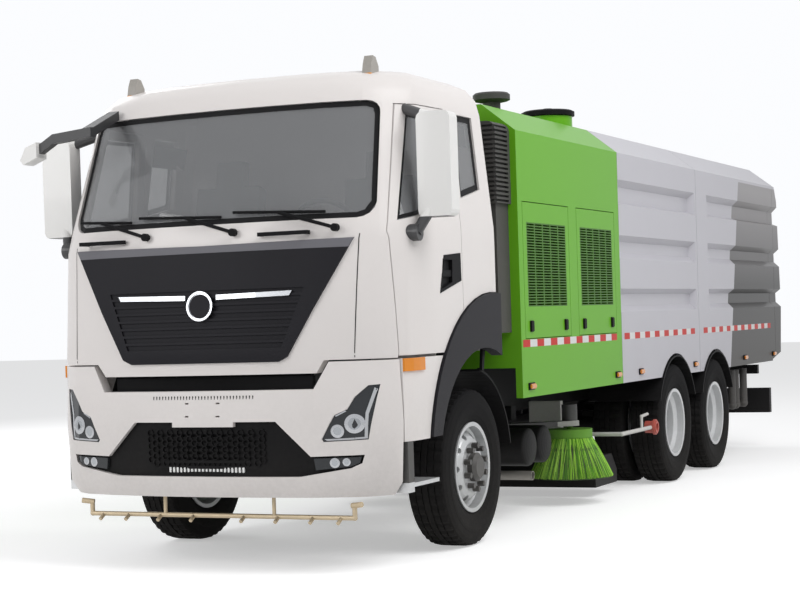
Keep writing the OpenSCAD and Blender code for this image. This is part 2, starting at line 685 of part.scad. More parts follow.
// Door outline as (y, z); its lower rear edge follows the fender
arc_rear = acos((door_rear - fender_y) / (fender_r + gap));
arc_front = 180 - asin((door_bottom - fender_z) / (fender_r + gap));
door_outline = concat([[door_front, door_bottom], [door_front, screen_low - 87], [-930, door_top - 10],
    [door_rear - 60, door_top], [door_rear, door_top - 50]], arc(fender_y, fender_z, fender_r + gap,
        arc_rear, arc_front, 6));
door_corner = fender_z + (fender_r + gap) * sin(arc_rear);
doorway = [[door_front - gap, 1250], [door_front - gap, screen_low - 85], [-932 - gap, door_top - 10 + gap],
    [door_rear - 58, door_top + gap], [door_rear + gap, door_top - 50],
        [door_rear + gap, door_corner - 107],
    [-700, 1250]];
fender_edge = arc(fender_y, fender_z, fender_r, 168.6, 84.4, 12);

// Cab shell: walls, roof and floor, with the doorways, windows and wheel arches cut out
module cab_shell() {
    color("white") placed() difference() {
        loft(cab_rings(cab_bottom, cab_top, 0));
        loft(cab_rings(cab_floor, cab_top - wall, wall));
        loft(cab_rings(cab_bottom - 10, cab_floor - floor_t, wall));
        front_plate(-1700, -800, screen_outline(0));
        both() {
            side_plate(690, cab_hw + 100, doorway);
            side_plate(cab_hw - wall - 100, cab_hw + 100, quarter_window(0));
            side_plate(cab_hw - wall - gap, cab_hw + 100, concat(arc(fender_y, fender_z, fender_r + gap,
                168.6, 79, 13),
                [[420, 1000], [-886, 700]]));
            front_plate(-1700, cab_rear + 10, [[745, 1200], [805, 1288], [1400, 1288], [1400, 1200]]);
        }
    }
}

// Windscreen and quarter windows, set a little into their openings
glass_in = 14;
glass_t = 9;
module glass_layer() {
    difference() {
        loft(cab_rings(screen_low - 32, door_top + 40, glass_in));
        loft(cab_rings(screen_low - 37, door_top + 45, glass_in + glass_t));
    }
}
module cab_glass() {
    color([0.25, 0.28, 0.3]) placed() intersection() {
        glass_layer();
        union() {
            front_plate(-1700, -800, screen_outline(0.3));
            both() side_plate(1000, 1400, quarter_window(0.3));
        }
    }
}

// Dark front panel, wide at the top, with sunken grille slots between its bars
panel_low = 1285;
panel_high = cab_z(2017);
panel_out = 16;
slot_count = 8;
grille_low = 1366;
grille_high = cab_z(1740);
function panel_half(z) = 582 + (z - panel_low) * 407 / (panel_high - panel_low);
function slot_half(z) = 545 + (z - grille_low) * 150 / (grille_high - grille_low);
module grille_panel() {
    pitch = (grille_high - grille_low) / slot_count;
    outline = concat([[-panel_half(panel_low) + 60, panel_low], [panel_half(panel_low) - 60, panel_low],
        [panel_half(panel_low), panel_low + 28]],
        [[panel_half(panel_high), panel_high], [0, panel_high - 12], [-panel_half(panel_high), panel_high]],
        [[-panel_half(panel_low), panel_low + 28]]);
    color([0.17, 0.17, 0.19]) placed() difference() {
        intersection() {
            loft(cab_rings(panel_low - 60, panel_high + 60, -panel_out));
            front_plate(-1700, -1100, outline);
        }
        loft(cab_rings(panel_low - 70, panel_high + 70, 0));
        difference() {
            for (i = [0:slot_count - 1]) {
                z0 = grille_low + pitch * (i + 0.12);
                z1 = grille_low + pitch * (i + 0.8);
                front_plate(-1700, -1200, [[-slot_half(z0), z0], [slot_half(z0), z0], [slot_half(z1),
                    z1], [-slot_half(z1), z1]]);
            }
            loft(cab_rings(panel_low - 70, panel_high + 70, -5));
        }
    }
}

// Bright bars and a plain round boss on the grille
boss_z = cab_z(1635);
module grille_trim() {
    y = cab_face(0, boss_z) - panel_out - 0.3;
    lean = atan((cab_sections[2][2] - cab_sections[1][2]) / (cab_sections[2][0] - cab_sections[1][0]));
    color("silver") placed() {
        translate([0, y, boss_z]) rotate([90 - lean, 0, 0]) difference() {
            cylinder(r = 92, h = 18);
            translate([0, 0, 10]) cylinder(r = 78, h = 20);
        }
        both() intersection() {
            front_plate(-1700, -1200, [[110, boss_z + 38], [600, boss_z + 48], [618, boss_z + 78],
                [110, boss_z + 68]]);
            difference() {
                loft(cab_rings(boss_z - 35, boss_z + 165, -panel_out - 8));
                loft(cab_rings(boss_z - 45, boss_z + 175, -panel_out - 0.3));
            }
        }
    }
}

// Three wipers and two grab handles on the strip below the windscreen: pivot, elbow and tips as (x, z)
wiper_arms = [[-420, -800, -1010, -560], [215, -150, -500, 110], [880, 500, 190, 800]];
module wipers() {
    color([0.06, 0.06, 0.07]) placed() {
        for (w = wiper_arms) {
            pivot_z = screen_low - 57;
            pivot = [w[0], cab_face(w[0], pivot_z) - 32, pivot_z];
            elbow = [w[1], cab_face(w[1], screen_low + 53) - 22, screen_low + 53];
            rod([w[0], cab_face(w[0], pivot_z) - 9.3, pivot_z], pivot - [0, 12, 0], 24);
            rod(pivot, elbow, 11);
            rod([w[2], cab_face(w[2], screen_low + 68) - 12, screen_low + 68],
                [w[3], cab_face(w[3], screen_low + 43) - 12, screen_low + 43], 9);
        }
        for (x = [-750, 560]) {
            z = screen_low - 91;
            y = cab_face(x, z + 12) - 42;
            box([x - 170, y - 10, z], [x + 170, y + 10, z + 24]);
            for (s = [-160, 140]) box([x + s, y + 10, z],
                [x + s + 20, min(cab_face(x + s, z), cab_face(x + s + 20, z)) - 1, z + 24]);
        }
    }
}

// Mirror on a boom at the right front corner of the roof: an arm of square tube with a hooded head
module boom_mirror() {
    z = screen_top;
    root = cab_face(-810, z + 2) - 1;
    color([0.07, 0.07, 0.08]) placed() union() {
        side_plate(-890, -810, [[root, z + 2], [root, z + 62], [-1400, z - 68], [-1400, z - 128]]);
        front_plate(-1430, -1370, [[-810, z - 68], [-1105, z - 93], [-1240, z - 168], [-1240, z - 228],
            [-1105, z - 153], [-810, z - 128]]);
        front_plate(-1455, -1345, [[-1215, z - 138], [-1300, z - 168], [-1345, z - 248],
            [-1320, z - 278], [-1215, z - 238]]);
    }
}

// Dashboard, two seats and the steering wheel on its column
module cab_interior() {
    color([0.2, 0.2, 0.21]) placed() {
        side_plate(-900, 900, [[-1270, cab_floor], [-1010, cab_floor], [-1010, cab_z(1900)],
            [-1080, cab_z(2050)],
            [-1270, cab_z(2065)]]);
        both() translate([580, 0, 0]) {
            side_plate(-250, 250, [[-640, cab_z(1780)], [-120, cab_z(1750)], [-20, cab_z(2440)],
                [-110, cab_z(2470)],
                [-190, cab_z(1930)], [-640, cab_z(1930)]]);
            side_plate(-110, 110, [[-95, cab_z(2466)], [-20, cab_z(2456)], [10, cab_z(2640)],
                [-60, cab_z(2650)]]);
            box([-200, -560, cab_floor], [200, -160, cab_z(1750)]);
        }
        translate([580, -860, cab_z(2090)]) rotate([-55, 0, 0]) {
            rotate_extrude() translate([225, 0]) circle(r = 18);
            box([-215, -20, -10], [215, 20, 10]);
            translate([0, 0, -250]) cylinder(r = 30, h = 250);
        }
    }
}

// Dark wheel arch bands let into the cab's sides
module fenders() {
    color([0.2, 0.2, 0.21]) placed() both() side_plate(cab_hw - wall, cab_hw + 17,
        concat(fender_edge, arc(0, tyre_r, arch_r, 67.5, 160.4, 12)));
}

// White panels below the doors, between the bumper's corner and the fender
function panel_plan(out) = [[1150, bumper_rear + 8], [1214 + out, bumper_rear + 8], [1236 + out, -1120],
    [cab_hw - 3 + out, -1040], [cab_hw - 3 + out, -640], [1150, -640]];
module step_panels() {
    a0 = 180 - asin((780 - fender_z) / (fender_r + gap));
    panel_top = door_bottom - 18;
    a1 = 180 - asin((panel_top - fender_z) / (fender_r + gap));
    color("white") placed() both() intersection() {
        translate([0, 0, 700]) linear_extrude(700) polygon(panel_plan(0));
        side_plate(1100, 1400, concat([[bumper_rear, panel_top], [bumper_rear, 780]],
            arc(fender_y, fender_z, fender_r + gap, a0, a1, 8)));
    }
}

// Marker lamps on the roof's front corners
module roof_lamps() {
    color("orange") placed() both() {
        difference() {
            side_plate(838, 898, [[-870, cab_top - 105], [-740, cab_top - 105],
                [-735, cab_top + 5], [-775, cab_top + 60], [-815, cab_top + 67], [-840, cab_top + 15]]);
            loft(cab_rings(cab_top - 155, cab_top, 0));
        }
    }
}

// Cab door: the full wall thickness between its seams, with the window cut out
module door(flip) {
    color("white") placed() right_side(flip) difference() {
        intersection() {
            loft(cab_rings(1250, door_top + 30, 0));
            side_plate(700, 1400, door_outline);
        }
        loft(cab_rings(1240, door_top + 40, wall));
        side_plate(700, 1400, door_window(0));
        side_plate(cab_hw - 22, cab_hw + 10, [[-660, cab_z(1690)], [-480, cab_z(1735)], [-470, cab_z(1890)],
            [-620, cab_z(1890)]]);
    }
}
module door_left() { door(false); }
module door_right() { door(true); }
module door_glass(flip) {
    color([0.25, 0.28, 0.3]) placed() right_side(flip) intersection() {
        glass_layer();
        side_plate(700, 1400, door_window(0.3));
    }
}
module door_glass_left() { door_glass(false); }
module door_glass_right() { door_glass(true); }

// Door mirror: tall housing on a lower bracket and an upper arm
mirror_z = [screen_low + 35, screen_top - 137];
module door_mirror(flip) {
    color("white") placed() right_side(flip) difference() {
        union() {
            front_plate(-1015, -895, concat(arc(1447, mirror_z[0], 40, -90, 0, 3),
                arc(1447, mirror_z[1], 40, 0, 90, 3),
                arc(1305, mirror_z[1], 40, 90, 180, 3), arc(1305, mirror_z[0], 40, 180, 270, 3)));
            pin_x(1180, 1292, -1060, mirror_z[0] - 132, 52);
            rod([1268, -1060, mirror_z[0] - 132], [1330, -980, mirror_z[0] + 8], 34);
            rod([1120, -860, door_top - 35], [1330, -950, mirror_z[1] + 9], 36);
        }
        loft(cab_rings(cab_z(1800), door_top + 50, -1));
    }
}
module mirror_left() { door_mirror(false); }
module mirror_right() { door_mirror(true); }

// Steering knuckle: kingpin through the beam's eye, a fork round it and the wheel's spindle
spindle_r = 40;
spindle_end = front_x + 130;
module knuckle(flip) {
    color([0.16, 0.16, 0.17]) placed() right_side(flip) union() {
        translate([kingpin_x, 0, tyre_r - 125]) cylinder(r = kingpin_r, h = 250);
        for (z = [tyre_r - 125, tyre_r + eye_h / 2 + gap]) {
            translate([kingpin_x, 0, z]) cylinder(r = eye_r - 8, h = 125 - eye_h / 2 - gap);
            box([kingpin_x, -40, z], [kingpin_x + 85, 40, z + 125 - eye_h / 2 - gap]);
        }
        box([kingpin_x + eye_r + 8, -40, tyre_r - 125], [kingpin_x + 85, 40, tyre_r + 125]);
        pin_x(kingpin_x + 70, spindle_end, 0, tyre_r, spindle_r);
    }
}
module knuckle_left() { knuckle(false); }
module knuckle_right() { knuckle(true); }

// A wheel is turned round an axle along X at its tyre's middle, outer side towards +X
module wheel_at(x, y, flip) {
    placed() right_side(flip) translate([x, y, tyre_r]) rotate([0, 90, 0]) children();
}
// Rim section as (radius, distance outwards)
rim_profile = [[rim_r, 128], [rim_r, 118], [rim_r - 15, 112], [rim_r - 17, 60], [rim_r - 52, 35],
    [rim_r - 52, -20],
    [rim_r - 17, -50], [rim_r - 15, -112], [rim_r, -118], [rim_r, -128], [rim_r - 27, -126],
        [rim_r - 29, -56],
    [rim_r - 64, -26], [rim_r - 64, 41], [rim_r - 29, 66], [rim_r - 27, 126]];
nut_r = 143;
module nuts(h0, h1) {
    for (a = [0:36:324]) rotate(a) translate([nut_r, 0, h0]) cylinder(r = 20, h = h1 - h0, $fn = 6);
}
module front_wheel(flip) {
    disc = [[rim_r - 56, 36], [rim_r - 56, 64], [205, 104], [170, 124], [60, 124], [60, 108],
        [160, 108], [195, 86]];
    hub = [[spindle_r + 2, -40], [185, -40], [185, 30], [96, 30], [96, 160], [70, 182], [0, 182],
        [0, 168], [spindle_r + 2, 168]];
    color("silver") wheel_at(front_x, 0, flip) difference() {
        union() {
            rotate_extrude() polygon(rim_profile);
            rotate_extrude() polygon(disc);
            rotate_extrude() polygon(hub);
            nuts(120, 172);
        }
        for (a = [18:36:342]) rotate(a) translate([212, 0, 40]) cylinder(r = 21, h = 100);
    }
}
module front_wheel_left() { front_wheel(false); }
module front_wheel_right() { front_wheel(true); }

// Twin rear wheels bolted disc to disc on one hub
module rear_wheels(y, flip) {
    mid = -twin_gap / 2;
    dish = [[rim_r - 56, -22], [rim_r - 66, -24], [178, mid + 14], [hub_r + 30, mid + 14],
        [hub_r + 30, mid - 1],
        [184, mid - 1], [rim_r - 56, -44]];
    hub = [[hub_r, mid - 120], [185, mid - 120], [185, mid - 30], [hub_r + 45, mid - 30], [hub_r + 45, -30],
        [hub_r + 20, -8], [0, -8 + 32], [0, 4], [hub_r, 4]];
    color("silver") wheel_at(rear_x, y, flip) union() {
        for (m = [0, 1]) translate([0, 0, -twin_gap * m]) mirror([0, 0, m]) {
            rotate_extrude() polygon(rim_profile);
            rotate_extrude() polygon(dish);
        }
        rotate_extrude() polygon(hub);
        nuts(mid + 10, mid + 55);
    }
}
module rear_wheels_1_left() { rear_wheels(axle_1, false); }
module rear_wheels_1_right() { rear_wheels(axle_1, true); }
module rear_wheels_2_left() { rear_wheels(axle_2, false); }
module rear_wheels_2_right() { rear_wheels(axle_2, true); }

// Tyre section as half of (radius, distance from the middle), mirrored
tyre_half = [[rim_r - 13, 0.372], [rim_r + 42, 0.469], [410, 0.5], [tyre_r - 47, 0.476],
    [tyre_r - 9, 0.414], [tyre_r, 0.345]];
module tyre_ring() {
    rotate_extrude() polygon(concat([for (p = tyre_half) [p[0], -p[1] * tyre_w]],
        [for (i = [len(tyre_half) - 1:-1:0]) [tyre_half[i][0], tyre_half[i][1] * tyre_w]]));
}
module front_tyre(flip) { color([0.1, 0.1, 0.1]) wheel_at(front_x, 0, flip) tyre_ring(); }
module front_tyre_left() { front_tyre(false); }
module front_tyre_right() { front_tyre(true); }
module rear_tyres(y, flip) {
    color([0.1, 0.1, 0.1]) for (m = [0, 1]) wheel_at(rear_x - twin_gap * m, y, flip) tyre_ring();
}
module rear_tyres_1_left() { rear_tyres(axle_1, false); }
module rear_tyres_1_right() { rear_tyres(axle_1, true); }
module rear_tyres_2_left() { rear_tyres(axle_2, false); }
module rear_tyres_2_right() { rear_tyres(axle_2, true); }

// Suction nozzle carried between the axles, its hood and the duct to the hopper
nozzle_y = broom_y + broom_r + 90;
nozzle_len = axle_1 - tyre_r - 368 - nozzle_y;
module nozzle() {
    color([0.1, 0.1, 0.11]) placed() {
        difference() {
            side_plate(-960, 960, [[nozzle_y, 80], [nozzle_y + nozzle_len, 80],
                [nozzle_y + nozzle_len, 190],
                [nozzle_y + nozzle_len - 130, 330],
                [nozzle_y + 130, 330], [nozzle_y, 190]]);
            side_plate(-920, 920, [[nozzle_y + 40, 70], [nozzle_y + nozzle_len - 40, 70],
                [nozzle_y + nozzle_len - 40, 175],
                [nozzle_y + nozzle_len - 150, 290], [nozzle_y + 150, 290], [nozzle_y + 40, 175]]);
        }
        translate([-640, nozzle_y + nozzle_len / 2, 330]) cylinder(r = 150, h = 820);
        both() box([rail_x - 70, nozzle_y + nozzle_len / 2 - 80, 330],
            [rail_x - 20, nozzle_y + nozzle_len / 2 + 80, rail_z]);
    }
}

// Filler pipe with its riser and hydrant coupling on the left, and the drain pipes behind the wheels
filler_x = 1215;
filler_z = 525;
filler_y0 = 2990;
filler_y1 = 3790;
coupling_r = 32.5;
drain_y = [6790, 6930, 7250];
module water_pipes() {
    color("whitesmoke") placed() {
        union() {
            pipe([[700, filler_y0, filler_z], [filler_x, filler_y0, filler_z],
                [filler_x, filler_y1, filler_z]], 17);
            pipe([[filler_x, filler_y1 - 260, filler_z], [filler_x, filler_y1 - 260, filler_z + 110],
                [filler_x, filler_y1 - 90, filler_z + 120]], 13);
            box([rail_x, filler_y0 - 30, filler_z - 25], [705, filler_y0 + 30, rail_z + 60]);
        }
        difference() {
            union() {
                pin_x(filler_x - 60, filler_x + 40, filler_y1 + 58, filler_z, 52);
                pin_x(filler_x + 10, filler_x + 30, filler_y1 + 58, filler_z, 66);
                translate([filler_x, filler_y1 + 20, filler_z]) rotate([90, 0, 0]) cylinder(r = 24, h = 20);
            }
            pin_x(filler_x - 40, filler_x + 50, filler_y1 + 58, filler_z, coupling_r);
        }
    }
    color([0.1, 0.1, 0.11]) placed() both() {
        for (y = drain_y) pipe([[1150, y, 896], [1150, y, 540], [rail_x + 90, y, 540]], 38);
        box([rail_x, drain_y[0] - 60, 480], [rail_x + 95, drain_y[2] + 60, 800]);
    }
}

// Broom arm: a flat link on a vertical pin below the rail, with the drive motor at its outer end
arm_pivot = [rail_x + 70, 2300];
arm_z = 620;
arm_t = 40;
arm_pin_r = 26;
function link(a, b, r) = let (d = atan2(b[1] - a[1], b[0] - a[0])) concat(
    [for (i = [-4:4]) b + r * [cos(d + i * 22.5), sin(d + i * 22.5)]],
    [for (i = [-4:4]) a + r * [cos(d + 180 + i * 22.5), sin(d + 180 + i * 22.5)]]);
module broom_arm(flip) {
    color("whitesmoke") placed() right_side(flip) difference() {
        union() {
            translate([0, 0, arm_z]) linear_extrude(arm_t) polygon(link(arm_pivot, [broom_x, broom_y], 75));
            translate([broom_x, broom_y, arm_z]) cylinder(r = 62, h = 170);
        }
        translate([arm_pivot[0], arm_pivot[1], arm_z - e]) cylinder(r = arm_pin_r + 1, h = 300);
        translate([broom_x, broom_y, arm_z - e]) cylinder(r = 25, h = 60);
    }
}
module broom_arm_left() { broom_arm(false); }
module broom_arm_right() { broom_arm(true); }

// Side broom: a flared skirt of bristles, hollow below, under a collar with its drive stub
broom_top = 528;
collar_r = 178;
stub_r = 24;
module broom(flip) {
    skirt = [[broom_r * 0.72, broom_low], [broom_r, broom_low], [broom_r * 0.86, broom_low + 110],
        [broom_r * 0.68, broom_low + 230], [collar_r - 8, broom_top], [collar_r, broom_top],
        [collar_r, broom_top + 67], [stub_r, broom_top + 67], [stub_r, broom_top + 140],
            [0, broom_top + 140],
        [0, broom_low + 250], [90, broom_low + 250]];
    color([0.45, 0.8, 0.1]) placed() right_side(flip) translate([broom_x, broom_y,
        0]) rotate_extrude() polygon(skirt);
}
module broom_left() { broom(false); }
module broom_right() { broom(true); }

rails();
cross_members();
axles();
leaf_springs();
engines();
tanks();
exhaust();
mudguards();
rear_guard();
bumper();
bumper_grille();
spray_bar();
steps();
housing();
air_intakes();
water_tank();
nozzle();
water_pipes();
cab_shell();
cab_glass();
grille_panel();
grille_trim();
wipers();
boom_mirror();
cab_interior();
door_left();
door_right();
door_glass_left();
door_glass_right();
mirror_left();
mirror_right();
knuckle_left();
knuckle_right();
front_wheel_left();
front_wheel_right();
front_tyre_left();
front_tyre_right();
rear_wheels_1_left();
rear_wheels_1_right();
rear_wheels_2_left();
rear_wheels_2_right();
rear_tyres_1_left();
rear_tyres_1_right();
rear_tyres_2_left();
rear_tyres_2_right();
louvre_door_1_left();
louvre_door_1_right();
louvre_door_2_left();
louvre_door_2_right();
roof_hatch();
hopper();
tailgate();
broom_arm_left();
broom_arm_right();
broom_left();
broom_right();
front_lamps();
fenders();
step_panels();
roof_lamps();
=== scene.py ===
import bmesh
import bpy
import math
import random
from mathutils import Matrix, Vector
from mathutils.bvhtree import BVHTree


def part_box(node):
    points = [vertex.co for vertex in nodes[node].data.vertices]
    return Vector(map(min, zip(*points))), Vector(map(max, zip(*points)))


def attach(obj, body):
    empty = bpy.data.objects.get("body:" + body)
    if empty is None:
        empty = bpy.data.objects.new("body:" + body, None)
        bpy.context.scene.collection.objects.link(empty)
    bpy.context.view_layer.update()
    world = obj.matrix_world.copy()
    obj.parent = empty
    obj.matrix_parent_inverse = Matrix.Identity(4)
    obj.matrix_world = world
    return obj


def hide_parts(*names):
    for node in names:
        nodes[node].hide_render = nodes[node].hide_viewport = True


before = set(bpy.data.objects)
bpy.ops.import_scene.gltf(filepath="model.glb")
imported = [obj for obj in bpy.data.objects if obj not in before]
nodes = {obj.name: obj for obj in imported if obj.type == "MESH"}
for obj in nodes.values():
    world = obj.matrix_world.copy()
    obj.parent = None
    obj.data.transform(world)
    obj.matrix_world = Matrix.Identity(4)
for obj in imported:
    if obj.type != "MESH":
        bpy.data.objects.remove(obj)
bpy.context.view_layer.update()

# White panels: cab shell, doors, bumper and the panels below the doors.
# Pressed steel and moulded plastic, sprayed in gloss white and clear coated.
# A thin grey film of road dirt settles on the lower parts.
def new_group(name, inputs, outputs):
    tree = bpy.data.node_groups.new(name, "ShaderNodeTree")
    for label, kind, value in inputs:
        tree.interface.new_socket(label, in_out="INPUT", socket_type=kind).default_value = value
    for label, kind in outputs:
        tree.interface.new_socket(label, in_out="OUTPUT", socket_type=kind)
    return tree, tree.nodes.new("NodeGroupInput"), tree.nodes.new("NodeGroupOutput")


def maths(tree, operation, *values):
    node = tree.nodes.new("ShaderNodeMath")
    node.operation = operation
    for socket, value in zip(node.inputs, values):
        if isinstance(value, (int, float)):
            socket.default_value = value
        else:
            tree.links.new(value, socket)
    return node.outputs[0]


def blend_color(tree, factor, first, second):
    node = tree.nodes.new("ShaderNodeMix")
    node.data_type = "RGBA"
    for index, value in ((0, factor), (6, first), (7, second)):
        if isinstance(value, (int, float, tuple)):
            node.inputs[index].default_value = value
        else:
            tree.links.new(value, node.inputs[index])
    return node.outputs[2]


def noise(tree, coords, scale, detail=4.0):
    node = tree.nodes.new("ShaderNodeTexNoise")
    tree.links.new(coords, node.inputs["Vector"])
    node.inputs["Scale"].default_value = scale
    node.inputs["Detail"].default_value = detail
    return node.outputs[0]


road_film, film_in, film_out = new_group(
    "road film",
    [("Color", "NodeSocketColor", (0.8, 0.8, 0.8, 1)), ("Roughness", "NodeSocketFloat", 0.3),
     ("Amount", "NodeSocketFloat", 0.3), ("Top", "NodeSocketFloat", 1.3)],
    [("Color", "NodeSocketColor"), ("Roughness", "NodeSocketFloat")])
film_at = road_film.nodes.new("ShaderNodeTexCoord").outputs["Object"]
film_split = road_film.nodes.new("ShaderNodeSeparateXYZ")
road_film.links.new(film_at, film_split.inputs[0])
film_low = maths(road_film, "DIVIDE", film_split.outputs[2], film_in.outputs["Top"])
film_low = maths(road_film, "SUBTRACT", 1.0, film_low)
film_low = maths(road_film, "MAXIMUM", film_low, 0.08)
film_spots = maths(road_film, "ADD", noise(road_film, film_at, 3.5, 8.0), noise(road_film, film_at, 40.0))
film_mask = maths(road_film, "MULTIPLY", film_low, film_spots)
film_mask = maths(road_film, "MULTIPLY", film_mask, film_in.outputs["Amount"])
film_mask = maths(road_film, "MINIMUM", film_mask, 1.0)
dust_color = (0.24, 0.22, 0.19, 1)
road_film.links.new(
    blend_color(road_film, film_mask, film_in.outputs["Color"], dust_color), film_out.inputs["Color"])
road_film.links.new(
    maths(road_film, "ADD", film_in.outputs["Roughness"], maths(road_film, "MULTIPLY", film_mask, 0.5)),
    film_out.inputs["Roughness"])


def zone_mask(tree, coords, tests):
    """A zone is where every test holds: "side" is the distance from the middle, (y, z) that from a line."""
    split = tree.nodes.new("ShaderNodeSeparateXYZ")
    tree.links.new(coords, split.inputs[0])
    mask = None
    for axis, low, high in tests:
        if axis == "side":
            value = maths(tree, "ABSOLUTE", split.outputs[0])
        elif isinstance(axis, tuple):
            part_y = maths(tree, "SUBTRACT", split.outputs[1], axis[0])
            part_z = maths(tree, "SUBTRACT", split.outputs[2], axis[1])
            square = maths(tree, "ADD", maths(tree, "MULTIPLY", part_y, part_y),
                           maths(tree, "MULTIPLY", part_z, part_z))
            value = maths(tree, "SQRT", square)
        else:
            value = split.outputs["xyz".index(axis)]
        inside = maths(tree, "MULTIPLY", maths(tree, "GREATER_THAN", value, low),
                       maths(tree, "LESS_THAN", value, high))
        mask = inside if mask is None else maths(tree, "MULTIPLY", mask, inside)
    return mask


def finish(name, color, rough, metal=0.0, coat=0.0, film=0.35, top=1.3, grain=None, zones=(), shine=0.5):
    mat = bpy.data.materials.new(name)
    mat.use_nodes = True
    tree = mat.node_tree
    bsdf = tree.nodes["Principled BSDF"]
    coords = tree.nodes.new("ShaderNodeTexCoord").outputs["Object"]
    shade = blend_color(tree, maths(tree, "MULTIPLY", noise(tree, coords, 1.7), 0.12),
                        (*color, 1), (*[c * 0.8 for c in color], 1))
    roughness, metallic = rough, metal
    for tests, z_color, z_rough, z_metal in zones:
        mask = zone_mask(tree, coords, tests)
        shade = blend_color(tree, mask, shade, (*z_color, 1))
        roughness = maths(tree, "ADD", roughness, maths(tree, "MULTIPLY", mask, z_rough - rough))
        metallic = maths(tree, "ADD", metallic, maths(tree, "MULTIPLY", mask, z_metal - metal))
    dirt = tree.nodes.new("ShaderNodeGroup")
    dirt.node_tree = road_film
    dirt.inputs["Amount"].default_value = film
    dirt.inputs["Top"].default_value = top
    tree.links.new(shade, dirt.inputs["Color"])
    for socket, value in ((dirt.inputs["Roughness"], roughness), (bsdf.inputs["Metallic"], metallic)):
        if isinstance(value, (int, float)):
            socket.default_value = value
        else:
            tree.links.new(value, socket)
    tree.links.new(dirt.outputs["Color"], bsdf.inputs["Base Color"])
    tree.links.new(dirt.outputs["Roughness"], bsdf.inputs["Roughness"])
    bsdf.inputs["Specular IOR Level"].default_value = shine
    bsdf.inputs["Coat Weight"].default_value = coat
    bsdf.inputs["Coat Roughness"].default_value = 0.05
    if grain:
        bump = tree.nodes.new("ShaderNodeBump")
        bump.inputs["Distance"].default_value = grain[1]
        tree.links.new(noise(tree, coords, grain[0]), bump.inputs["Height"])
        tree.links.new(bump.outputs[0], bsdf.inputs["Normal"])
    return mat


def dress(material, *names):
    for name in names:
        mesh = nodes[name].data
        mesh.materials.clear()
        mesh.materials.append(material)


sharp_angle, weld_gap = math.radians(28), 0.0002
soft_faces = bpy.data.node_groups.new("soft faces", "GeometryNodeTree")
soft_faces.interface.new_socket("Geometry", in_out="INPUT", socket_type="NodeSocketGeometry")
soft_faces.interface.new_socket("Geometry", in_out="OUTPUT", socket_type="NodeSocketGeometry")
soft_in, soft_out = soft_faces.nodes.new("NodeGroupInput"), soft_faces.nodes.new("NodeGroupOutput")
soft_weld = soft_faces.nodes.new("GeometryNodeMergeByDistance")
soft_weld.inputs["Distance"].default_value = weld_gap
soft_drop = soft_faces.nodes.new("GeometryNodeRemoveAttribute")
soft_drop.inputs["Name"].default_value = "custom_normal"
soft_all = soft_faces.nodes.new("GeometryNodeSetShadeSmooth")
soft_sharp = soft_faces.nodes.new("GeometryNodeSetShadeSmooth")
soft_sharp.domain = "EDGE"
soft_sharp.inputs["Shade Smooth"].default_value = False
soft_angle = soft_faces.nodes.new("GeometryNodeInputMeshEdgeAngle")
soft_limit = soft_faces.nodes.new("FunctionNodeCompare")
soft_limit.inputs[1].default_value = sharp_angle
soft_faces.links.new(soft_angle.outputs["Unsigned Angle"], soft_limit.inputs[0])
soft_faces.links.new(soft_limit.outputs[0], soft_sharp.inputs["Selection"])
for first, second in ((soft_in, soft_weld), (soft_weld, soft_drop), (soft_drop, soft_all),
                      (soft_all, soft_sharp), (soft_sharp, soft_out)):
    soft_faces.links.new(first.outputs[0], second.inputs[0])


def softened(*names):
    for name in names:
        nodes[name].modifiers.new("soft faces", "NODES").node_group = soft_faces


white_paint = finish("white paint", (0.79, 0.75, 0.73), 0.34, coat=0.12, film=0.3, shine=0.25)
white_panels = ("cab_shell", "door_left", "door_right", "bumper", "step_panels")
dress(white_paint, *white_panels)
softened(*white_panels)

# Windscreen, quarter windows and door windows.
# Tinted laminated glass, bonded in; the sky shows in it and the seats stay visible behind it.
def clear_glass(name, color, alpha, rough=0.03):
    mat = bpy.data.materials.new(name)
    mat.use_nodes = True
    bsdf = mat.node_tree.nodes["Principled BSDF"]
    bsdf.inputs["Base Color"].default_value = (*color, 1)
    bsdf.inputs["Roughness"].default_value = rough
    bsdf.inputs["Alpha"].default_value = alpha
    bsdf.inputs["Coat Weight"].default_value = 0.3
    return mat


window_glass = clear_glass("window glass", (0.27, 0.277, 0.286), 0.46)
panes = ("cab_glass", "door_glass_left", "door_glass_right")
dress(window_glass, *panes)

# Black ceramic border round the windscreen and the side windows.
# A fired-on frit that hides the bonding bead, drawn as a thin band on the glass.
def skin(name):
    mesh = nodes[name].data
    return BVHTree.FromPolygons([v.co for v in mesh.vertices], [tuple(p.vertices) for p in mesh.polygons])


def draped(tree, points, axis, lift):
    """Points dropped onto a piece from the front ("y"), from behind ("rear") or from a side (1 or -1)."""
    hits = []
    for a, b in points:
        if axis in ("y", "rear"):
            toward = Vector((0, 1 if axis == "y" else -1, 0))
            start = Vector((a, -20 * toward.y, b))
        else:
            toward = Vector((-math.copysign(1, axis), 0, 0))
            start = Vector((math.copysign(20, axis), a, b))
        hit = tree.ray_cast(start, toward)[0]
        hits.append(None if hit is None else hit - toward * lift)
    return hits


def piece(name, mesh, material, body):
    obj = bpy.data.objects.new(name.replace(" ", "_"), mesh)
    bpy.context.scene.collection.objects.link(obj)
    mesh.materials.clear()
    mesh.materials.append(material)
    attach(obj, body)
    return obj


def sheet(name, verts, faces, facing):
    """A thin sheet, its faces turned to the side that it is seen from."""
    mesh = bpy.data.meshes.new(name)
    mesh.from_pydata(verts, [], faces)
    if sum(face.area * face.normal.dot(facing) for face in mesh.polygons) < 0:
        mesh.flip_normals()
    return mesh


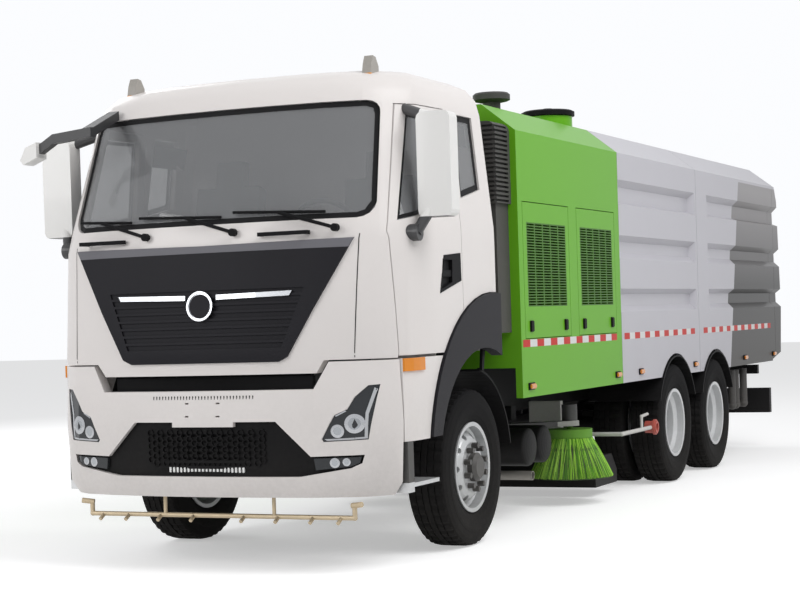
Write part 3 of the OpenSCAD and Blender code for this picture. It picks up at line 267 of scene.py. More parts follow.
def strip(name, pairs, facing, closed=True):
    pairs = [(a, b) for a, b in pairs if a and b]
    n = len(pairs)
    faces = [(i, (i + 1) % n, n + (i + 1) % n, n + i) for i in range(n if closed else n - 1)]
    return sheet(name, [a for a, b in pairs] + [b for a, b in pairs], faces, facing)


def between(a, b, k, n):
    return a[0] + (b[0] - a[0]) * k / n, a[1] + (b[1] - a[1]) * k / n


def dense(corners, step=0.03):
    out = []
    for a, b in zip(corners, corners[1:] + corners[:1]):
        n = max(1, round(math.hypot(b[0] - a[0], b[1] - a[1]) / step))
        out += [between(a, b, i, n) for i in range(n)]
    return out


def inset(points, by):
    out = []
    n = len(points)
    for i in range(n):
        (a, b), (c, d) = points[i - 1], points[(i + 1) % n]
        length = math.hypot(c - a, d - b)
        out.append((points[i][0] - (d - b) / length * by, points[i][1] + (c - a) / length * by))
    return out


black_rubber = finish("black rubber", (0.012, 0.012, 0.013), 0.55, film=0.08, shine=0.08)
screen_skin = skin("cab_glass")
screen_half = [(0.985, 2.137), (1.04, 2.16), (1.078, 2.232), (1.033, 2.79), (1.01, 2.845), (0.955, 2.865)]
screen_edge = dense([(-0.985, 2.137), *screen_half, *[(-x, z) for x, z in screen_half[:0:-1]]])
border_lift = 0.002
pairs = zip(draped(screen_skin, inset(screen_edge, 0.002), "y", border_lift),
            draped(screen_skin, inset(screen_edge, 0.034), "y", border_lift))
ahead_side = Vector((0, -1, 0))
piece("windscreen border", strip("windscreen border", pairs, ahead_side),
      black_rubber, "cab")
sides = (("left", 1), ("right", -1))
for side, sign in sides:
    for label, pane, body, corners, width in (
            ("window", skin("door_glass_" + side), "door_" + side,
             [(-4.674, 2.116), (-3.92, 2.263), (-3.92, 2.796), (-4.408, 2.788)], 0.026),
            ("quarter", screen_skin, "cab",
             [(-3.779, 2.286), (-3.436, 2.357), (-3.426, 2.837), (-3.734, 2.837)], 0.04)):
        edge = dense(corners)
        pairs = zip(draped(pane, inset(edge, 0.003), sign, border_lift),
                    draped(pane, inset(edge, width), sign, border_lift))
        full = f"{label} border {side}"
        piece(full, strip(full, pairs, Vector((sign, 0, 0))), black_rubber, body)

# Front panel below the windscreen, fenders and cab trim.
# Grained charcoal plastic mouldings; the top band of the panel is painted a lighter grey, a painted
# highlight where the panel turns up to the light.
painted_highlight_band = [("z", 1.962, 2.1), ("y", -6.0, -4.6)]
charcoal = finish("charcoal plastic", (0.017, 0.0165, 0.02), 0.42, film=0.08, grain=(900.0, 0.0004),
                  shine=0.08, zones=[(painted_highlight_band, (0.17, 0.168, 0.185), 0.38, 0.0)])
dress(charcoal, "grille_panel", "fenders")
softened("grille_panel", "fenders", *panes)
dress(finish("cab trim", (0.16, 0.16, 0.168), 0.7, film=0.0, grain=(700.0, 0.0005)), "cab_interior")

# Bars and round boss of the grille: chromed plastic clipped to the panel.
# The boss is a ring round a plain dark centre.
def circle(x, z, radius, count):
    turns = [k * math.pi / (count / 2) for k in range(count)]
    return [(x + radius * math.cos(turn), z + radius * math.sin(turn)) for turn in turns]


chrome = finish("chrome", (0.45, 0.46, 0.48), 0.2, metal=1.0, film=0.15)
dress(chrome, "grille_trim")
boss_height, boss_radius, boss_points = 1.635, 0.074, 32
boss_rim = circle(0, boss_height, boss_radius, boss_points)
boss_front = draped(skin("grille_trim"), boss_rim, "y", 0.001)
boss_face = sheet("boss face", boss_front, [tuple(range(boss_points))], ahead_side)
piece("boss face", boss_face, charcoal, "cab")

# Wipers, intake tower, roof vent, hatch lid, wheel guards and the lower grille.
# Black moulded plastic, left unpainted and slightly greyed by weather.
black_plastic = finish("black plastic", (0.009, 0.009, 0.01), 0.48, film=0.06,
                       grain=(600.0, 0.0004), shine=0.05)
dress(black_plastic, "wipers", "mudguards", "bumper_grille", "roof_hatch")
dress(finish("greyed plastic", (0.055, 0.054, 0.053), 0.55, film=0.2, top=4.0,
             grain=(400.0, 0.0006), shine=0.2), "air_intakes")

# Mirror on the roof's boom: a steel arm in black paint, bolted to the cab's upper corner.
# The hood at its end is moulded plastic, painted white.
arm_black = (0.022, 0.022, 0.024)
dress(finish("boom mirror paint", arm_black, 0.45, film=0.1,
             zones=[([("x", -2.0, -1.21)], (0.78, 0.77, 0.75), 0.35, 0.0)]), "boom_mirror")

# Door mirrors: black arms bolted to the doors, and white painted plastic shells.
# Two flat mirror glasses are clipped into the rear face of each shell.
dress(finish("door mirror paint", (0.8, 0.79, 0.77), 0.35, coat=0.3, film=0.1,
             zones=[([("side", 0.0, 1.262)], arm_black, 0.5, 0.0),
                    ([("z", 1.9, 2.135)], arm_black, 0.5, 0.0)]), "mirror_left", "mirror_right")
mirror_glass = finish("mirror glass", (0.8, 0.82, 0.84), 0.03, metal=1.0, film=0.0)
axle_ahead = 3.53  # the front axle lies this far ahead of the frame's origin; stations are taken from it
mirror_rear = -0.8935 - axle_ahead
mirror_corners = [(x, z) for low, high in ((2.155, 2.45), (2.47, 2.745))
                  for x, z in ((1.282, low), (1.47, low), (1.47, high), (1.282, high))]
for side, sign in sides:
    mesh = sheet("mirror glass " + side, [(sign * x, mirror_rear, z) for x, z in mirror_corners],
                 [(0, 1, 2, 3), (4, 5, 6, 7)], Vector((0, 1, 0)))
    piece("mirror glass " + side, mesh, mirror_glass, "door_" + side)

# Seams of the cab's front: the edges of the front flap, and a short black grip on each windscreen pillar.
# The seams are open joints in the steel and the grips are rubber, both drawn as narrow bands on the shell.
shell_skin = skin("cab_shell")
seam_lift = 0.0015
for side, sign in sides:
    for name, path, width in (("flap seam", [(1.012, 2.04), (1.0, 1.7), (0.99, 1.3)], 0.005),
                              ("pillar grip", [(1.1, 2.79), (1.128, 2.64)], 0.016)):
        line = [between(a, b, k, 12) for a, b in zip(path, path[1:]) for k in range(13)]
        line = [(sign * x, z) for x, z in line]
        shift = [(x + sign * width, z) for x, z in line]
        pairs = zip(draped(shell_skin, line, "y", seam_lift), draped(shell_skin, shift, "y", seam_lift))
        full = f"{name} {side}"
        piece(full, strip(full, pairs, ahead_side, closed=False), black_rubber, "cab")

# Engine housing and its louvred doors: folded steel sheet in gloss leaf green.
# The louvre fields are pressed into the doors; each whole field is painted a darker green, a painted shade
# for the slots between the blades.
leaf_green = dict(color=(0.135, 0.42, 0.013), rough=0.34, coat=0.05, film=0.12, top=1.8, shine=0.12)
dress(finish("green paint", **leaf_green), "housing")
# The darker green of the louvre fields is painted shade, standing for the shadowed slots between the
# blades.
painted_slot_shade = (0.05, 0.16, 0.008)
louvre_fields = [([("y", a - axle_ahead, b - axle_ahead), ("z", 1.575, 2.17)], painted_slot_shade, 0.4, 0.0)
                 for a, b in ((0.86, 1.672), (1.998, 2.764))]
dress(finish("louvre green", zones=louvre_fields, **leaf_green),
      *[f"louvre_door_{n}_{s}" for n in (1, 2) for s in ("left", "right")])

# Water tank and hopper: steel in pale lilac-grey paint, the rear of the hopper and the tailgate in gloss
# dark grey paint behind a slanted line.
# On that dark grey a painted reflection runs from mid grey under the eave to near black at the skirt.
def slanted(mat, low, high):
    tree = mat.node_tree
    dirt = next(n for n in tree.nodes if n.type == "GROUP")
    coords = next(n for n in tree.nodes if n.type == "TEX_COORD").outputs["Object"]
    split = tree.nodes.new("ShaderNodeSeparateXYZ")
    tree.links.new(coords, split.inputs[0])
    slope = (high[0] - low[0]) / (high[1] - low[1])
    line = maths(tree, "MULTIPLY_ADD", split.outputs[2], slope, low[0] - low[1] * slope)
    mask = maths(tree, "GREATER_THAN", split.outputs[1], line)
    mask = maths(tree, "MULTIPLY", mask, maths(tree, "LESS_THAN", split.outputs[2], high[1]))
    # The dark grey runs from mid grey up high to near black low down: a painted reflection of bright sky
    # above and dark ground below.
    fade_foot, fade_rate = 1.75, 1.05
    painted_reflection_fade = maths(tree, "MULTIPLY", maths(tree, "SUBTRACT", split.outputs[2], fade_foot), fade_rate)
    painted_reflection_fade = maths(tree, "MINIMUM", maths(tree, "MAXIMUM", painted_reflection_fade, 0.0), 1.0)
    dark = blend_color(tree, painted_reflection_fade, (0.016, 0.015, 0.014, 1), (0.3, 0.285, 0.29, 1))
    was = dirt.inputs["Color"].links[0].from_socket
    tree.links.new(blend_color(tree, mask, was, dark), dirt.inputs["Color"])


pale_grey = dict(color=(0.53, 0.52, 0.56), rough=0.34, coat=0.05, film=0.15, top=1.8, shine=0.2)
grey_paint = finish("grey paint", **pale_grey)
hopper_paint = finish("hopper paint", **pale_grey)
slanted(hopper_paint, (6.394 - axle_ahead, 0.959), (6.874 - axle_ahead, 2.776))
dress(grey_paint, "water_tank")
dress(hopper_paint, "hopper", "tailgate")

# Frame, axles, springs, tanks, nozzle and rear guard: riveted and welded steel in satin black paint.
# The engines between the rails are castings coloured near black, a painted shade for the shadow under the
# body, and the exhaust is bare steel.
dress(finish("chassis paint", (0.009, 0.009, 0.01), 0.55, film=0.04, top=1.4,
             grain=(120.0, 0.0006), shine=0.15),
      "rails", "cross_members", "axles", "leaf_springs", "tanks", "rear_guard", "nozzle",
      "knuckle_left", "knuckle_right")
# The near-black colour of the engines is painted shade for the shadow under the body.
dress(finish("engine castings", (0.05, 0.051, 0.054), 0.6, metal=0.3, film=0.12, top=2.5), "engines")
dress(finish("exhaust steel", (0.3, 0.29, 0.27), 0.5, metal=0.9, film=0.4), "exhaust")

# Boarding steps: ribbed aluminium treads.
# They are bolted to black steel brackets below the doors.
bracket_black = (0.03, 0.03, 0.032)
dress(finish("tread alloy", (0.62, 0.63, 0.64), 0.4, metal=0.8, film=0.3, zones=[
    ([("side", 0.0, 1.015)], bracket_black, 0.5, 0.0),
    ([("z", 0.53, 0.9)], bracket_black, 0.5, 0.0)]), "steps")

# Spray bar: a brass pipe with its nozzles and elbows, dulled by weather.
# It hangs on stays below the bumper.
dress(finish("dull brass", (0.62, 0.5, 0.33), 0.42, metal=0.55, film=0.3), "spray_bar")

# Water pipes: steel tube in white paint, with a red painted hydrant coupling on the filler.
# The drains behind the wheels are black.
dress(finish("pipe paint", (0.72, 0.71, 0.68), 0.4, film=0.4, zones=[
    ([("y", 0.245, 0.4), ("side", 1.0, 1.4)], (0.55, 0.06, 0.035), 0.4, 0.0),
    ([("y", 3.0, 4.2)], (0.025, 0.025, 0.027), 0.55, 0.0)]), "water_pipes")

# Headlamps and fog lamps: dark reflectors under clear plastic covers, set into the bumper.
# The indicators at the cab's corners and the feet of the roof lamps are amber plastic.
dress(finish("lamp covers", (0.03, 0.033, 0.037), 0.12, coat=0.1, film=0.03, shine=0.25, zones=[
    ([("side", 1.15, 1.4), ("z", 1.19, 1.3)], (0.75, 0.25, 0.02), 0.2, 0.0)]), "front_lamps")
dress(finish("marker lenses", (0.36, 0.34, 0.31), 0.3, film=0.05, shine=0.3, zones=[
    ([("z", 2.8, 3.06)], (0.75, 0.3, 0.03), 0.2, 0.0)]), "roof_lamps")

# Wheels: pressed steel in silver paint, bolted to the hubs.
# The nuts and the hub caps of the front wheels are black.
axle_height, hub_radius = 0.522, 0.2
hub_zone = [("side", 1.1455, 1.3), ((-axle_ahead, axle_height), 0.0, hub_radius)]
for side in ("left", "right"):
    dress(finish("front wheel silver " + side, (0.56, 0.57, 0.58), 0.38, metal=0.6, film=0.3,
                 zones=[(hub_zone, (0.02, 0.02, 0.022), 0.4, 0.0)]), "front_wheel_" + side)
dress(finish("rear wheel silver", (0.68, 0.69, 0.7), 0.36, metal=0.5, film=0.25),
      *[f"rear_wheels_{n}_{s}" for n in (1, 2) for s in ("left", "right")])

# Broom arms: steel plate coloured near black as painted shade for the shadow under the body, pale where it
# carries the broom, with the motor on top.
# Brooms: green plastic collars, and a dark core that the bristles cover.
arm_end = [("y", -1.04, -0.76), ("z", 0.6, 0.662)]
# The arms' near-black colour is painted shade for the shadow under the body; the pale plate over the broom
# is its own colour.
dress(finish("arm painted shade", (0.05, 0.05, 0.052), 0.45, film=0.2,
             zones=[(arm_end, (0.55, 0.54, 0.52), 0.4, 0.0)]), "broom_arm_left", "broom_arm_right")
# The dark and light bristle greens are one green, given painted shade and painted light.
shaded_bristle_green = finish("dark bristles", (0.1, 0.33, 0.012), 0.5, film=0.2, top=0.8, shine=0.25)
lit_bristle_green = finish("light bristles", (0.36, 0.68, 0.07), 0.5, film=0.1, top=0.8, shine=0.25)
dress(finish("broom core", (0.13, 0.37, 0.02), 0.5, film=0.3, grain=(250.0, 0.002), shine=0.2, zones=[
    ([("z", 0.0, 0.52)], (0.02, 0.065, 0.006), 0.6, 0.0)]), "broom_left", "broom_right")

# Tyres: rubber carcass with moulded sidewalls, round ribs and cross-cut tread blocks.
# Each is turned as one ring with its grooves sunk into the crown.
def tyre_ring(mesh_name, centres, width, outer, inner, cuts):
    section = [(inner, -0.372), (inner + 0.03, -0.43), (inner + 0.055, -0.462), (inner + 0.06, -0.47),
               (0.41, -0.5), (0.43, -0.498), (0.432, -0.492),
               (outer - 0.047, -0.476), (outer - 0.02, -0.44)]
    crown = []
    for low, high in ((-0.405, -0.255), (-0.225, -0.095), (-0.065, 0.065), (0.095, 0.225), (0.255, 0.405)):
        edge = 0.007 if abs(low + high) > 0.6 else 0.0
        crown += [(outer - 0.014, low - 0.004), (outer - edge if low < -0.3 else outer, low),
                  (outer - edge if high > 0.3 else outer, high), (outer - 0.014, high + 0.004)]
    section = section + crown + [(r, -x) for r, x in reversed(section)]
    section.append((inner - 0.012, 0.3))
    section.append((inner - 0.012, -0.3))
    steps = cuts * 3
    verts, faces = [], []
    for centre in centres:
        base = len(verts)
        for k in range(steps):
            turn = 2 * math.pi * k / steps
            for r, x in section:
                sunk = 0.0
                if r > outer - 0.009 and k % 3 == 0 and abs(x) > 0.09:
                    sunk = 0.01
                verts.append((centre.x + x * width, centre.y + (r - sunk) * math.cos(turn),
                              centre.z + (r - sunk) * math.sin(turn)))
        n = len(section)
        for k in range(steps):
            for i in range(n):
                a, b = base + k * n + i, base + k * n + (i + 1) % n
                c, d = base + ((k + 1) % steps) * n + (i + 1) % n, base + ((k + 1) % steps) * n + i
                faces.append((a, b, c, d))
    mesh = bpy.data.meshes.new(mesh_name)
    mesh.from_pydata(verts, [], faces)
    mesh.validate()
    shape = bmesh.new()
    shape.from_mesh(mesh)
    bmesh.ops.recalc_face_normals(shape, faces=shape.faces)
    shape.to_mesh(mesh)
    shape.free()
    return mesh


tyre_rubber = finish("tyre rubber", (0.009, 0.009, 0.01), 0.75, film=0.07, top=1.2,
                     grain=(500.0, 0.0006), shine=0.05)
tyre_sizes = dict(width=0.288, outer=0.5215, inner=0.288, cuts=44)
twin_tyre_width = 0.29
for side in ("left", "right"):
    low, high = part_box("front_tyre_" + side)
    middle = (low + high) / 2
    name = "treaded tyre front " + side
    tyre = piece(name, tyre_ring(name, [middle], **tyre_sizes), tyre_rubber, "front_wheel_" + side)
    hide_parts("front_tyre_" + side)
    for n in (1, 2):
        low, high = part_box(f"rear_tyres_{n}_{side}")
        middle = (low + high) / 2
        apart = Vector(((high.x - low.x - twin_tyre_width) / 2, 0, 0))
        name = f"treaded tyres rear {n} {side}"
        tyre = piece(name, tyre_ring(name, [middle - apart, middle + apart], **tyre_sizes),
                     tyre_rubber, f"rear_wheels_{n}_{side}")
        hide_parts(f"rear_tyres_{n}_{side}")

# Reflective tape along the body: red and white lengths of retro-reflective film.
# They are stuck in turn along the lower side panels.
def repeated(name, part, places, material):
    tree = bpy.data.node_groups.new(name, "GeometryNodeTree")
    tree.interface.new_socket("Geometry", in_out="INPUT", socket_type="NodeSocketGeometry")
    tree.interface.new_socket("Geometry", in_out="OUTPUT", socket_type="NodeSocketGeometry")
    part_socket = tree.interface.new_socket("Part", in_out="INPUT", socket_type="NodeSocketObject")
    enter, leave = tree.nodes.new("NodeGroupInput"), tree.nodes.new("NodeGroupOutput")
    info = tree.nodes.new("GeometryNodeObjectInfo")
    turn = tree.nodes.new("GeometryNodeInputNamedAttribute")
    turn.data_type = "FLOAT_VECTOR"
    turn.inputs["Name"].default_value = "turn"
    spread = tree.nodes.new("GeometryNodeInstanceOnPoints")
    real = tree.nodes.new("GeometryNodeRealizeInstances")
    paint = tree.nodes.new("GeometryNodeSetMaterial")
    paint.inputs["Material"].default_value = material
    tree.links.new(enter.outputs["Part"], info.inputs["Object"])
    tree.links.new(enter.outputs["Geometry"], spread.inputs["Points"])
    tree.links.new(info.outputs["Geometry"], spread.inputs["Instance"])
    tree.links.new(turn.outputs["Attribute"], spread.inputs["Rotation"])
    tree.links.new(spread.outputs[0], real.inputs[0])
    tree.links.new(real.outputs[0], paint.inputs[0])
    tree.links.new(paint.outputs[0], leave.inputs[0])
    points = bpy.data.meshes.new(name + " points")
    points.from_pydata([p for p, t in places], [], [])
    turns = points.attributes.new("turn", "FLOAT_VECTOR", "POINT")
    for item, (p, t) in zip(turns.data, places):
        item.vector = t
    carrier = bpy.data.objects.new(name + " points", points)
    seed = bpy.data.objects.new(name + " part", part)
    scene = bpy.context.scene
    scene.collection.objects.link(carrier)
    scene.collection.objects.link(seed)
    modifier = carrier.modifiers.new("spread", "NODES")
    modifier.node_group = tree
    modifier[part_socket.identifier] = seed
    seen = carrier.evaluated_get(bpy.context.evaluated_depsgraph_get())
    mesh = bpy.data.meshes.new_from_object(seen)
    mesh.name = name
    carrier.modifiers.remove(modifier)
    bpy.data.objects.remove(carrier)
    bpy.data.objects.remove(seed)
    return mesh


def block(name, low, high, bevel=0.0):
    shape = bmesh.new()
    bmesh.ops.create_cube(shape, size=1.0)
    for v in shape.verts:
        v.co = Vector([low[i] + (v.co[i] + 0.5) * (high[i] - low[i]) for i in range(3)])
    if bevel:
        bmesh.ops.bevel(shape, geom=shape.edges[:], offset=bevel, segments=2, affect="EDGES")
    mesh = bpy.data.meshes.new(name)
    shape.to_mesh(mesh)
    shape.free()
    return mesh


red_tape = finish("red tape", (0.55, 0.022, 0.015), 0.4, film=0.1, shine=0.15)
white_tape = finish("white tape", (0.72, 0.72, 0.71), 0.4, film=0.1, shine=0.15)
tape_length, tape_half, tape_height = 0.14, 0.026, 1.318
body_side = 1.25
for label, body, start, end in (("housing", "chassis", -2.8, -0.6), ("tank", "chassis", -0.5, 1.66),
                                ("hopper", "hopper", 1.9, 4.6)):
    count = int((end - start) / tape_length)
    for color, mat, odd in (("red", red_tape, 0), ("white", white_tape, 1)):
        spots = [((sign * body_side, start + tape_length * (k + 0.5), tape_height), (0, 0, 0))
                 for sign in (1, -1) for k in range(count) if k % 2 == odd]
        part = block("tape block", (-0.0009, -tape_length / 2, -tape_half),
                     (0.0009, tape_length / 2, tape_half))
        name = f"{color} tape {label}"
        piece(name, repeated(name, part, spots, mat), mat, body)

# Side marker lamps: amber plastic lenses on black plastic feet.
# They are screwed to the lower edge of the body and the hopper.
def on_body_side(sign, station, height):
    return (sign * body_side, station - axle_ahead, height), (0, 0, 0 if sign > 0 else math.pi)


amber_lens = finish("amber lens", (0.75, 0.26, 0.02), 0.18, coat=0.8, film=0.05)
foot_part = block("marker foot", (-0.004, -0.062, -0.026), (0.008, 0.062, 0.026), 0.004)
lens_part = block("marker lens", (0.006, -0.05, -0.018), (0.024, 0.05, 0.018), 0.006)
marker_height = 1.015
for label, body, stations in (("body", "chassis", (0.87, 2.827, 3.449, 5.11)),
                              ("hopper", "hopper", (6.955, 8.2))):
    spots = [on_body_side(sign, y, marker_height) for sign in (1, -1) for y in stations]
    piece("marker feet " + label, repeated("marker feet " + label, foot_part.copy(), spots, black_plastic),
          black_plastic, body)
    piece("marker lenses " + label, repeated("marker lenses " + label, lens_part.copy(), spots, amber_lens),
          amber_lens, body)

# Latches of the louvred doors: black plastic paddles, one at each lower corner.
# Each is let into the door's sheet and screwed from behind.
latch_part = block("latch", (-0.004, -0.03, -0.04), (0.014, 0.03, 0.04), 0.005)
latch_height, latch_inset = 1.437, 0.12
for n, (first, last) in ((1, (0.785, 1.746)), (2, (1.923, 2.838))):
    for side, sign in sides:
        spots = [on_body_side(sign, y, latch_height) for y in (first + latch_inset, last - latch_inset)]
        name = f"latches {n} {side}"
        piece(name, repeated(name, latch_part.copy(), spots, black_plastic), black_plastic,
              f"louvre_door_{n}_{side}")

# Door handles: a black moulded surround clipped over the recess in each door, with a pull bar across it.
# The surround is a thin shell: its rim meets the door's skin, and its inner edge goes down into the recess.
handle_corners = [[(-0.68, 1.672), (-0.335, 1.752), (-0.34, 1.93), (-0.605, 1.912)],
                  [(-0.667, 1.682), (-0.473, 1.73), (-0.463, 1.897), (-0.625, 1.897)],
                  [(-0.652, 1.699), (-0.486, 1.741), (-0.477, 1.884), (-0.615, 1.884)]]
handle_loops = [[between(a, b, k, 6) for a, b in zip(loop, loop[1:] + loop[:1]) for k in range(6)]
                for loop in handle_corners]
outline, lip_outside, lip_inside = [[(y - axle_ahead, z) for y, z in loop] for loop in handle_loops]
recess = [(-0.66, 1.69), (-0.48, 1.735), (-0.47, 1.89), (-0.62, 1.89)]
recess_floor, surround_foot, rim_lift = 1.2245, 1.2242, 0.004
bar_outside, bar_thick = 1.243, 0.014
bar_front, bar_rear, bar_low, bar_high = -4.165, -4.005, 1.775, 1.82
for side, sign in sides:
    door_skin = skin("door_" + side)
    rim, raised = draped(door_skin, outline, sign, -0.001), draped(door_skin, outline, sign, rim_lift)
    near = draped(door_skin, lip_outside, sign, rim_lift)
    if all(rim + raised + near):
        lip = [Vector((v.x, y, z)) for v, (y, z) in zip(near, lip_inside)]
        sunk = [Vector((sign * surround_foot, y, z)) for y, z in lip_inside]
        verts = rim + raised + lip + sunk
        n = len(rim)
        faces = [(j * n + k, j * n + (k + 1) % n, (j + 1) * n + (k + 1) % n, (j + 1) * n + k)
                 for j in range(3) for k in range(n)]
        name = "handle surround " + side
        mesh = sheet(name, verts, faces, Vector((sign, 0, 0)))
        piece(name, mesh, black_plastic, "door_" + side)
    # A black sheet laid on the floor of each recess is a painted shadow in the recess.
    mesh = sheet("handle recess " + side, [(sign * recess_floor, y - axle_ahead, z) for y, z in recess],
                 [(0, 1, 2, 3)], Vector((sign, 0, 0)))
    piece("handle recess " + side, mesh, black_rubber, "door_" + side)
    bar_x = sorted((sign * bar_outside, sign * bar_outside - bar_thick * sign))
    bar = block("handle " + side, (bar_x[0], bar_front, bar_low), (bar_x[1], bar_rear, bar_high), 0.004)
    piece("handle " + side, bar, black_plastic, "door_" + side)

# Headlamp and fog lamp insides: chromed plastic bowls with glass bulbs, and pale light strips.
# They are clipped into the lamps and seen through the clear covers.
lamp_skin = skin("front_lamps")
strip_white = finish("light strip", (0.5, 0.51, 0.53), 0.3, coat=0.1, film=0.0, shine=0.3)
bulb_glass = finish("bulb glass", (0.34, 0.36, 0.38), 0.06, metal=0.7, coat=1.0, film=0.0)
bowl_lift, bulb_lift, bulb_share, bowl_points = 0.002, 0.003, 0.62, 24
for side, sign in sides:
    for name, mat, slot, width, outer in (
            ("light strip", strip_white, "lamp_lens", 0.016,
             [(1.112, 1.128), (1.06, 0.96), (1.052, 0.815), (0.93, 0.809), (0.806, 0.806)]),
            ("upper strip", chrome, "chrome", 0.008,
             [(1.052, 1.118), (0.985, 1.05), (0.94, 0.98), (0.87, 0.945)])):
        path = [between(a, b, k, 8) for a, b in zip(outer, outer[1:]) for k in range(8)] + [outer[-1]]
        path = [(sign * x, z) for x, z in path]
        shift = [(x - sign * width, z + width * 0.6) for x, z in path]
        pairs = zip(draped(lamp_skin, path, "y", bowl_lift), draped(lamp_skin, shift, "y", bowl_lift))
        full = f"{name} {side}"
        piece(full, strip(full, pairs, ahead_side, closed=False), mat, "chassis")
    for label, (x, z), radius in (("dip", (0.985, 0.905), 0.058), ("main", (0.885, 0.862), 0.04),
                                   ("fog", (0.86, 0.672), 0.03), ("corner", (0.93, 0.676), 0.024)):
        rim = circle(sign * x, z, radius, bowl_points)
        core = circle(sign * x, z, radius * bulb_share, bowl_points)
        outer, inner = draped(lamp_skin, rim, "y", bowl_lift), draped(lamp_skin, core, "y", bulb_lift)
        if all(outer) and all(inner):
            name = f"{label} bowl {side}"
            piece(name, strip(name, zip(outer, inner), ahead_side), chrome, "chassis")
            disc = sheet(f"{label} lens {side}", inner, [tuple(range(bowl_points))], ahead_side)
            piece(f"{label} lens {side}", disc, bulb_glass, "chassis")

# Tail lamps: red and amber plastic lens blocks.
# They are screwed into the recesses of the rear guard.
red_lens = finish("red lens", (0.55, 0.015, 0.012), 0.18, coat=0.8, film=0.1)
guard_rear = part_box("rear_guard")[1].y
lens_front, lens_rear, lens_low, lens_high = guard_rear - 0.017, guard_rear - 0.001, 0.46, 0.555
for label, mat, slot, low_x, high_x in (("red", red_lens, None, 0.83, 1.07),
                                        ("amber", amber_lens, "amber_lens", 0.71, 0.825)):
    for side, sign in sides:
        name = f"{label} tail lamp {side}"
        lamp_x = sorted((sign * low_x, sign * high_x))
        lens = block(name, (lamp_x[0], lens_front, lens_low), (lamp_x[1], lens_rear, lens_high), 0.005)
        piece(name, lens, mat, "chassis")

# Lower grille: a honeycomb of black plastic across the bumper's opening.
# The cells are moulded in one piece with the plate behind them.
def hexagon(name, size, depth, thick):
    shape = bmesh.new()
    rings = []
    for y in (-depth / 2, depth / 2):
        for r in (size, size - thick):
            rings.append([shape.verts.new((r * math.cos(math.pi / 3 * k), y, r * math.sin(math.pi / 3 * k)))
                          for k in range(6)])
    for a, b in ((0, 1), (3, 2), (2, 0), (1, 3)):
        for k in range(6):
            shape.faces.new((rings[a][k], rings[a][(k + 1) % 6], rings[b][(k + 1) % 6], rings[b][k]))
    bmesh.ops.recalc_face_normals(shape, faces=shape.faces)
    mesh = bpy.data.meshes.new(name)
    shape.to_mesh(mesh)
    shape.free()
    return mesh


def upright_spots(tree, points, axis, lift):
    return [(hit, (0, 0, 0)) for hit in draped(tree, points, axis, lift) if hit]


grille_skin = skin("bumper_grille")
cell, cells_low, cells_high = 0.024, 0.672, 0.875
cell_depth, cell_wall, grille_lift = 0.012, 0.005, 0.004
cells = [(i * cell * 1.5, cells_low + j * cell * 1.732 + (i % 2) * cell * 0.866)
         for i in range(-11, 12) for j in range(6)]
cells = [(x, z) for x, z in cells if z < cells_high]
spots = upright_spots(grille_skin, cells, "y", grille_lift)
cell_part = hexagon("honeycomb cell", cell, cell_depth, cell_wall)
piece("honeycomb", repeated("honeycomb", cell_part, spots, black_plastic),
      black_plastic, "chassis")

# Ribbed step at the foot of the lower grille, and the row of punched slots on the step higher up the
# bumper.
# The ribs are cast alloy, screwed on; the slots are small black blocks set into the bumper's skin, a
# painted shade for the openings.
bumper_skin = skin("bumper")
rib_part = block("rib", (-0.0075, -0.006, -0.016), (0.0075, 0.006, 0.016), 0.002)
rib_pitch, rib_height = 0.026, 0.63
ribs = [(i * rib_pitch, rib_height) for i in range(-10, 11)]
spots = upright_spots(grille_skin, ribs, "y", grille_lift)
step_alloy = finish("step alloy", (0.74, 0.74, 0.73), 0.4, metal=0.3, film=0.1)
piece("grille step ribs", repeated("grille step ribs", rib_part, spots, step_alloy),
      step_alloy, "chassis")
# Each black block is painted shade standing for one punched slot.
slot_shade_part = block("slot shade", (-0.004, -0.002, -0.012), (0.004, 0.002, 0.012), 0.002)
slot_mark_pitch, slot_mark_height = 0.022, 1.074
slot_marks = [(i * slot_mark_pitch, slot_mark_height) for i in range(-16, 17)]
spots = upright_spots(bumper_skin, slot_marks, "y", 0.0)
piece("step studs", repeated("step studs", slot_shade_part, spots, black_plastic),
      black_plastic, "chassis")

# Bristles: flat green plastic strands, clamped in clumps under each broom's collar; half are a lighter
# green and half a darker, painted light and painted shade among the clumps.
# They flare out over the dark core and stop a little above the road.
def strand(name, half, path):
    verts = []
    for k, (out, down) in enumerate(path):
        wide = half * (1.0 - 0.12 * k)
        verts += [(out, -wide, down), (out + 0.003, 0.0, down), (out, wide, down)]
    faces = [(k * 3 + a, k * 3 + a + 1, k * 3 + 4 + a, k * 3 + 3 + a)
             for k in range(len(path) - 1) for a in range(2)]
    return sheet(name, verts, faces, Vector((1, 0, 0.4)))


strand_path = [(0.0, 0.0), (0.026, -0.048), (0.055, -0.1), (0.113, -0.215), (0.154, -0.305)]
strand_count, clump_count, strand_half = 900, 64, 0.0042
clamp_radius, clamp_height = 0.172, 0.526
for side in ("left", "right"):
    low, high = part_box("broom_" + side)
    middle = (low + high) / 2
    pick = random.Random(7)
    spots = []
    for k in range(strand_count):
        clump = round(k / strand_count * clump_count) / clump_count
        turn = 2 * math.pi * (clump * 0.6 + k / strand_count * 0.4) + pick.gauss(0, 0.03)
        ring = clamp_radius + pick.uniform(0.0, 0.006)
        root = (middle.x + ring * math.cos(turn), middle.y + ring * math.sin(turn),
                clamp_height + pick.uniform(-0.006, 0.0))
        spots.append((root, (pick.gauss(0, 0.05), pick.uniform(-0.015, 0.02), turn)))
    for label, mat, some in (("dark", shaded_bristle_green, spots[::2]), ("light", lit_bristle_green, spots[1::2])):
        name = f"{label} bristles {side}"
        tuft = repeated(name, strand("strand", strand_half, strand_path), some, mat)
        piece(name, tuft, mat, "broom_" + side)

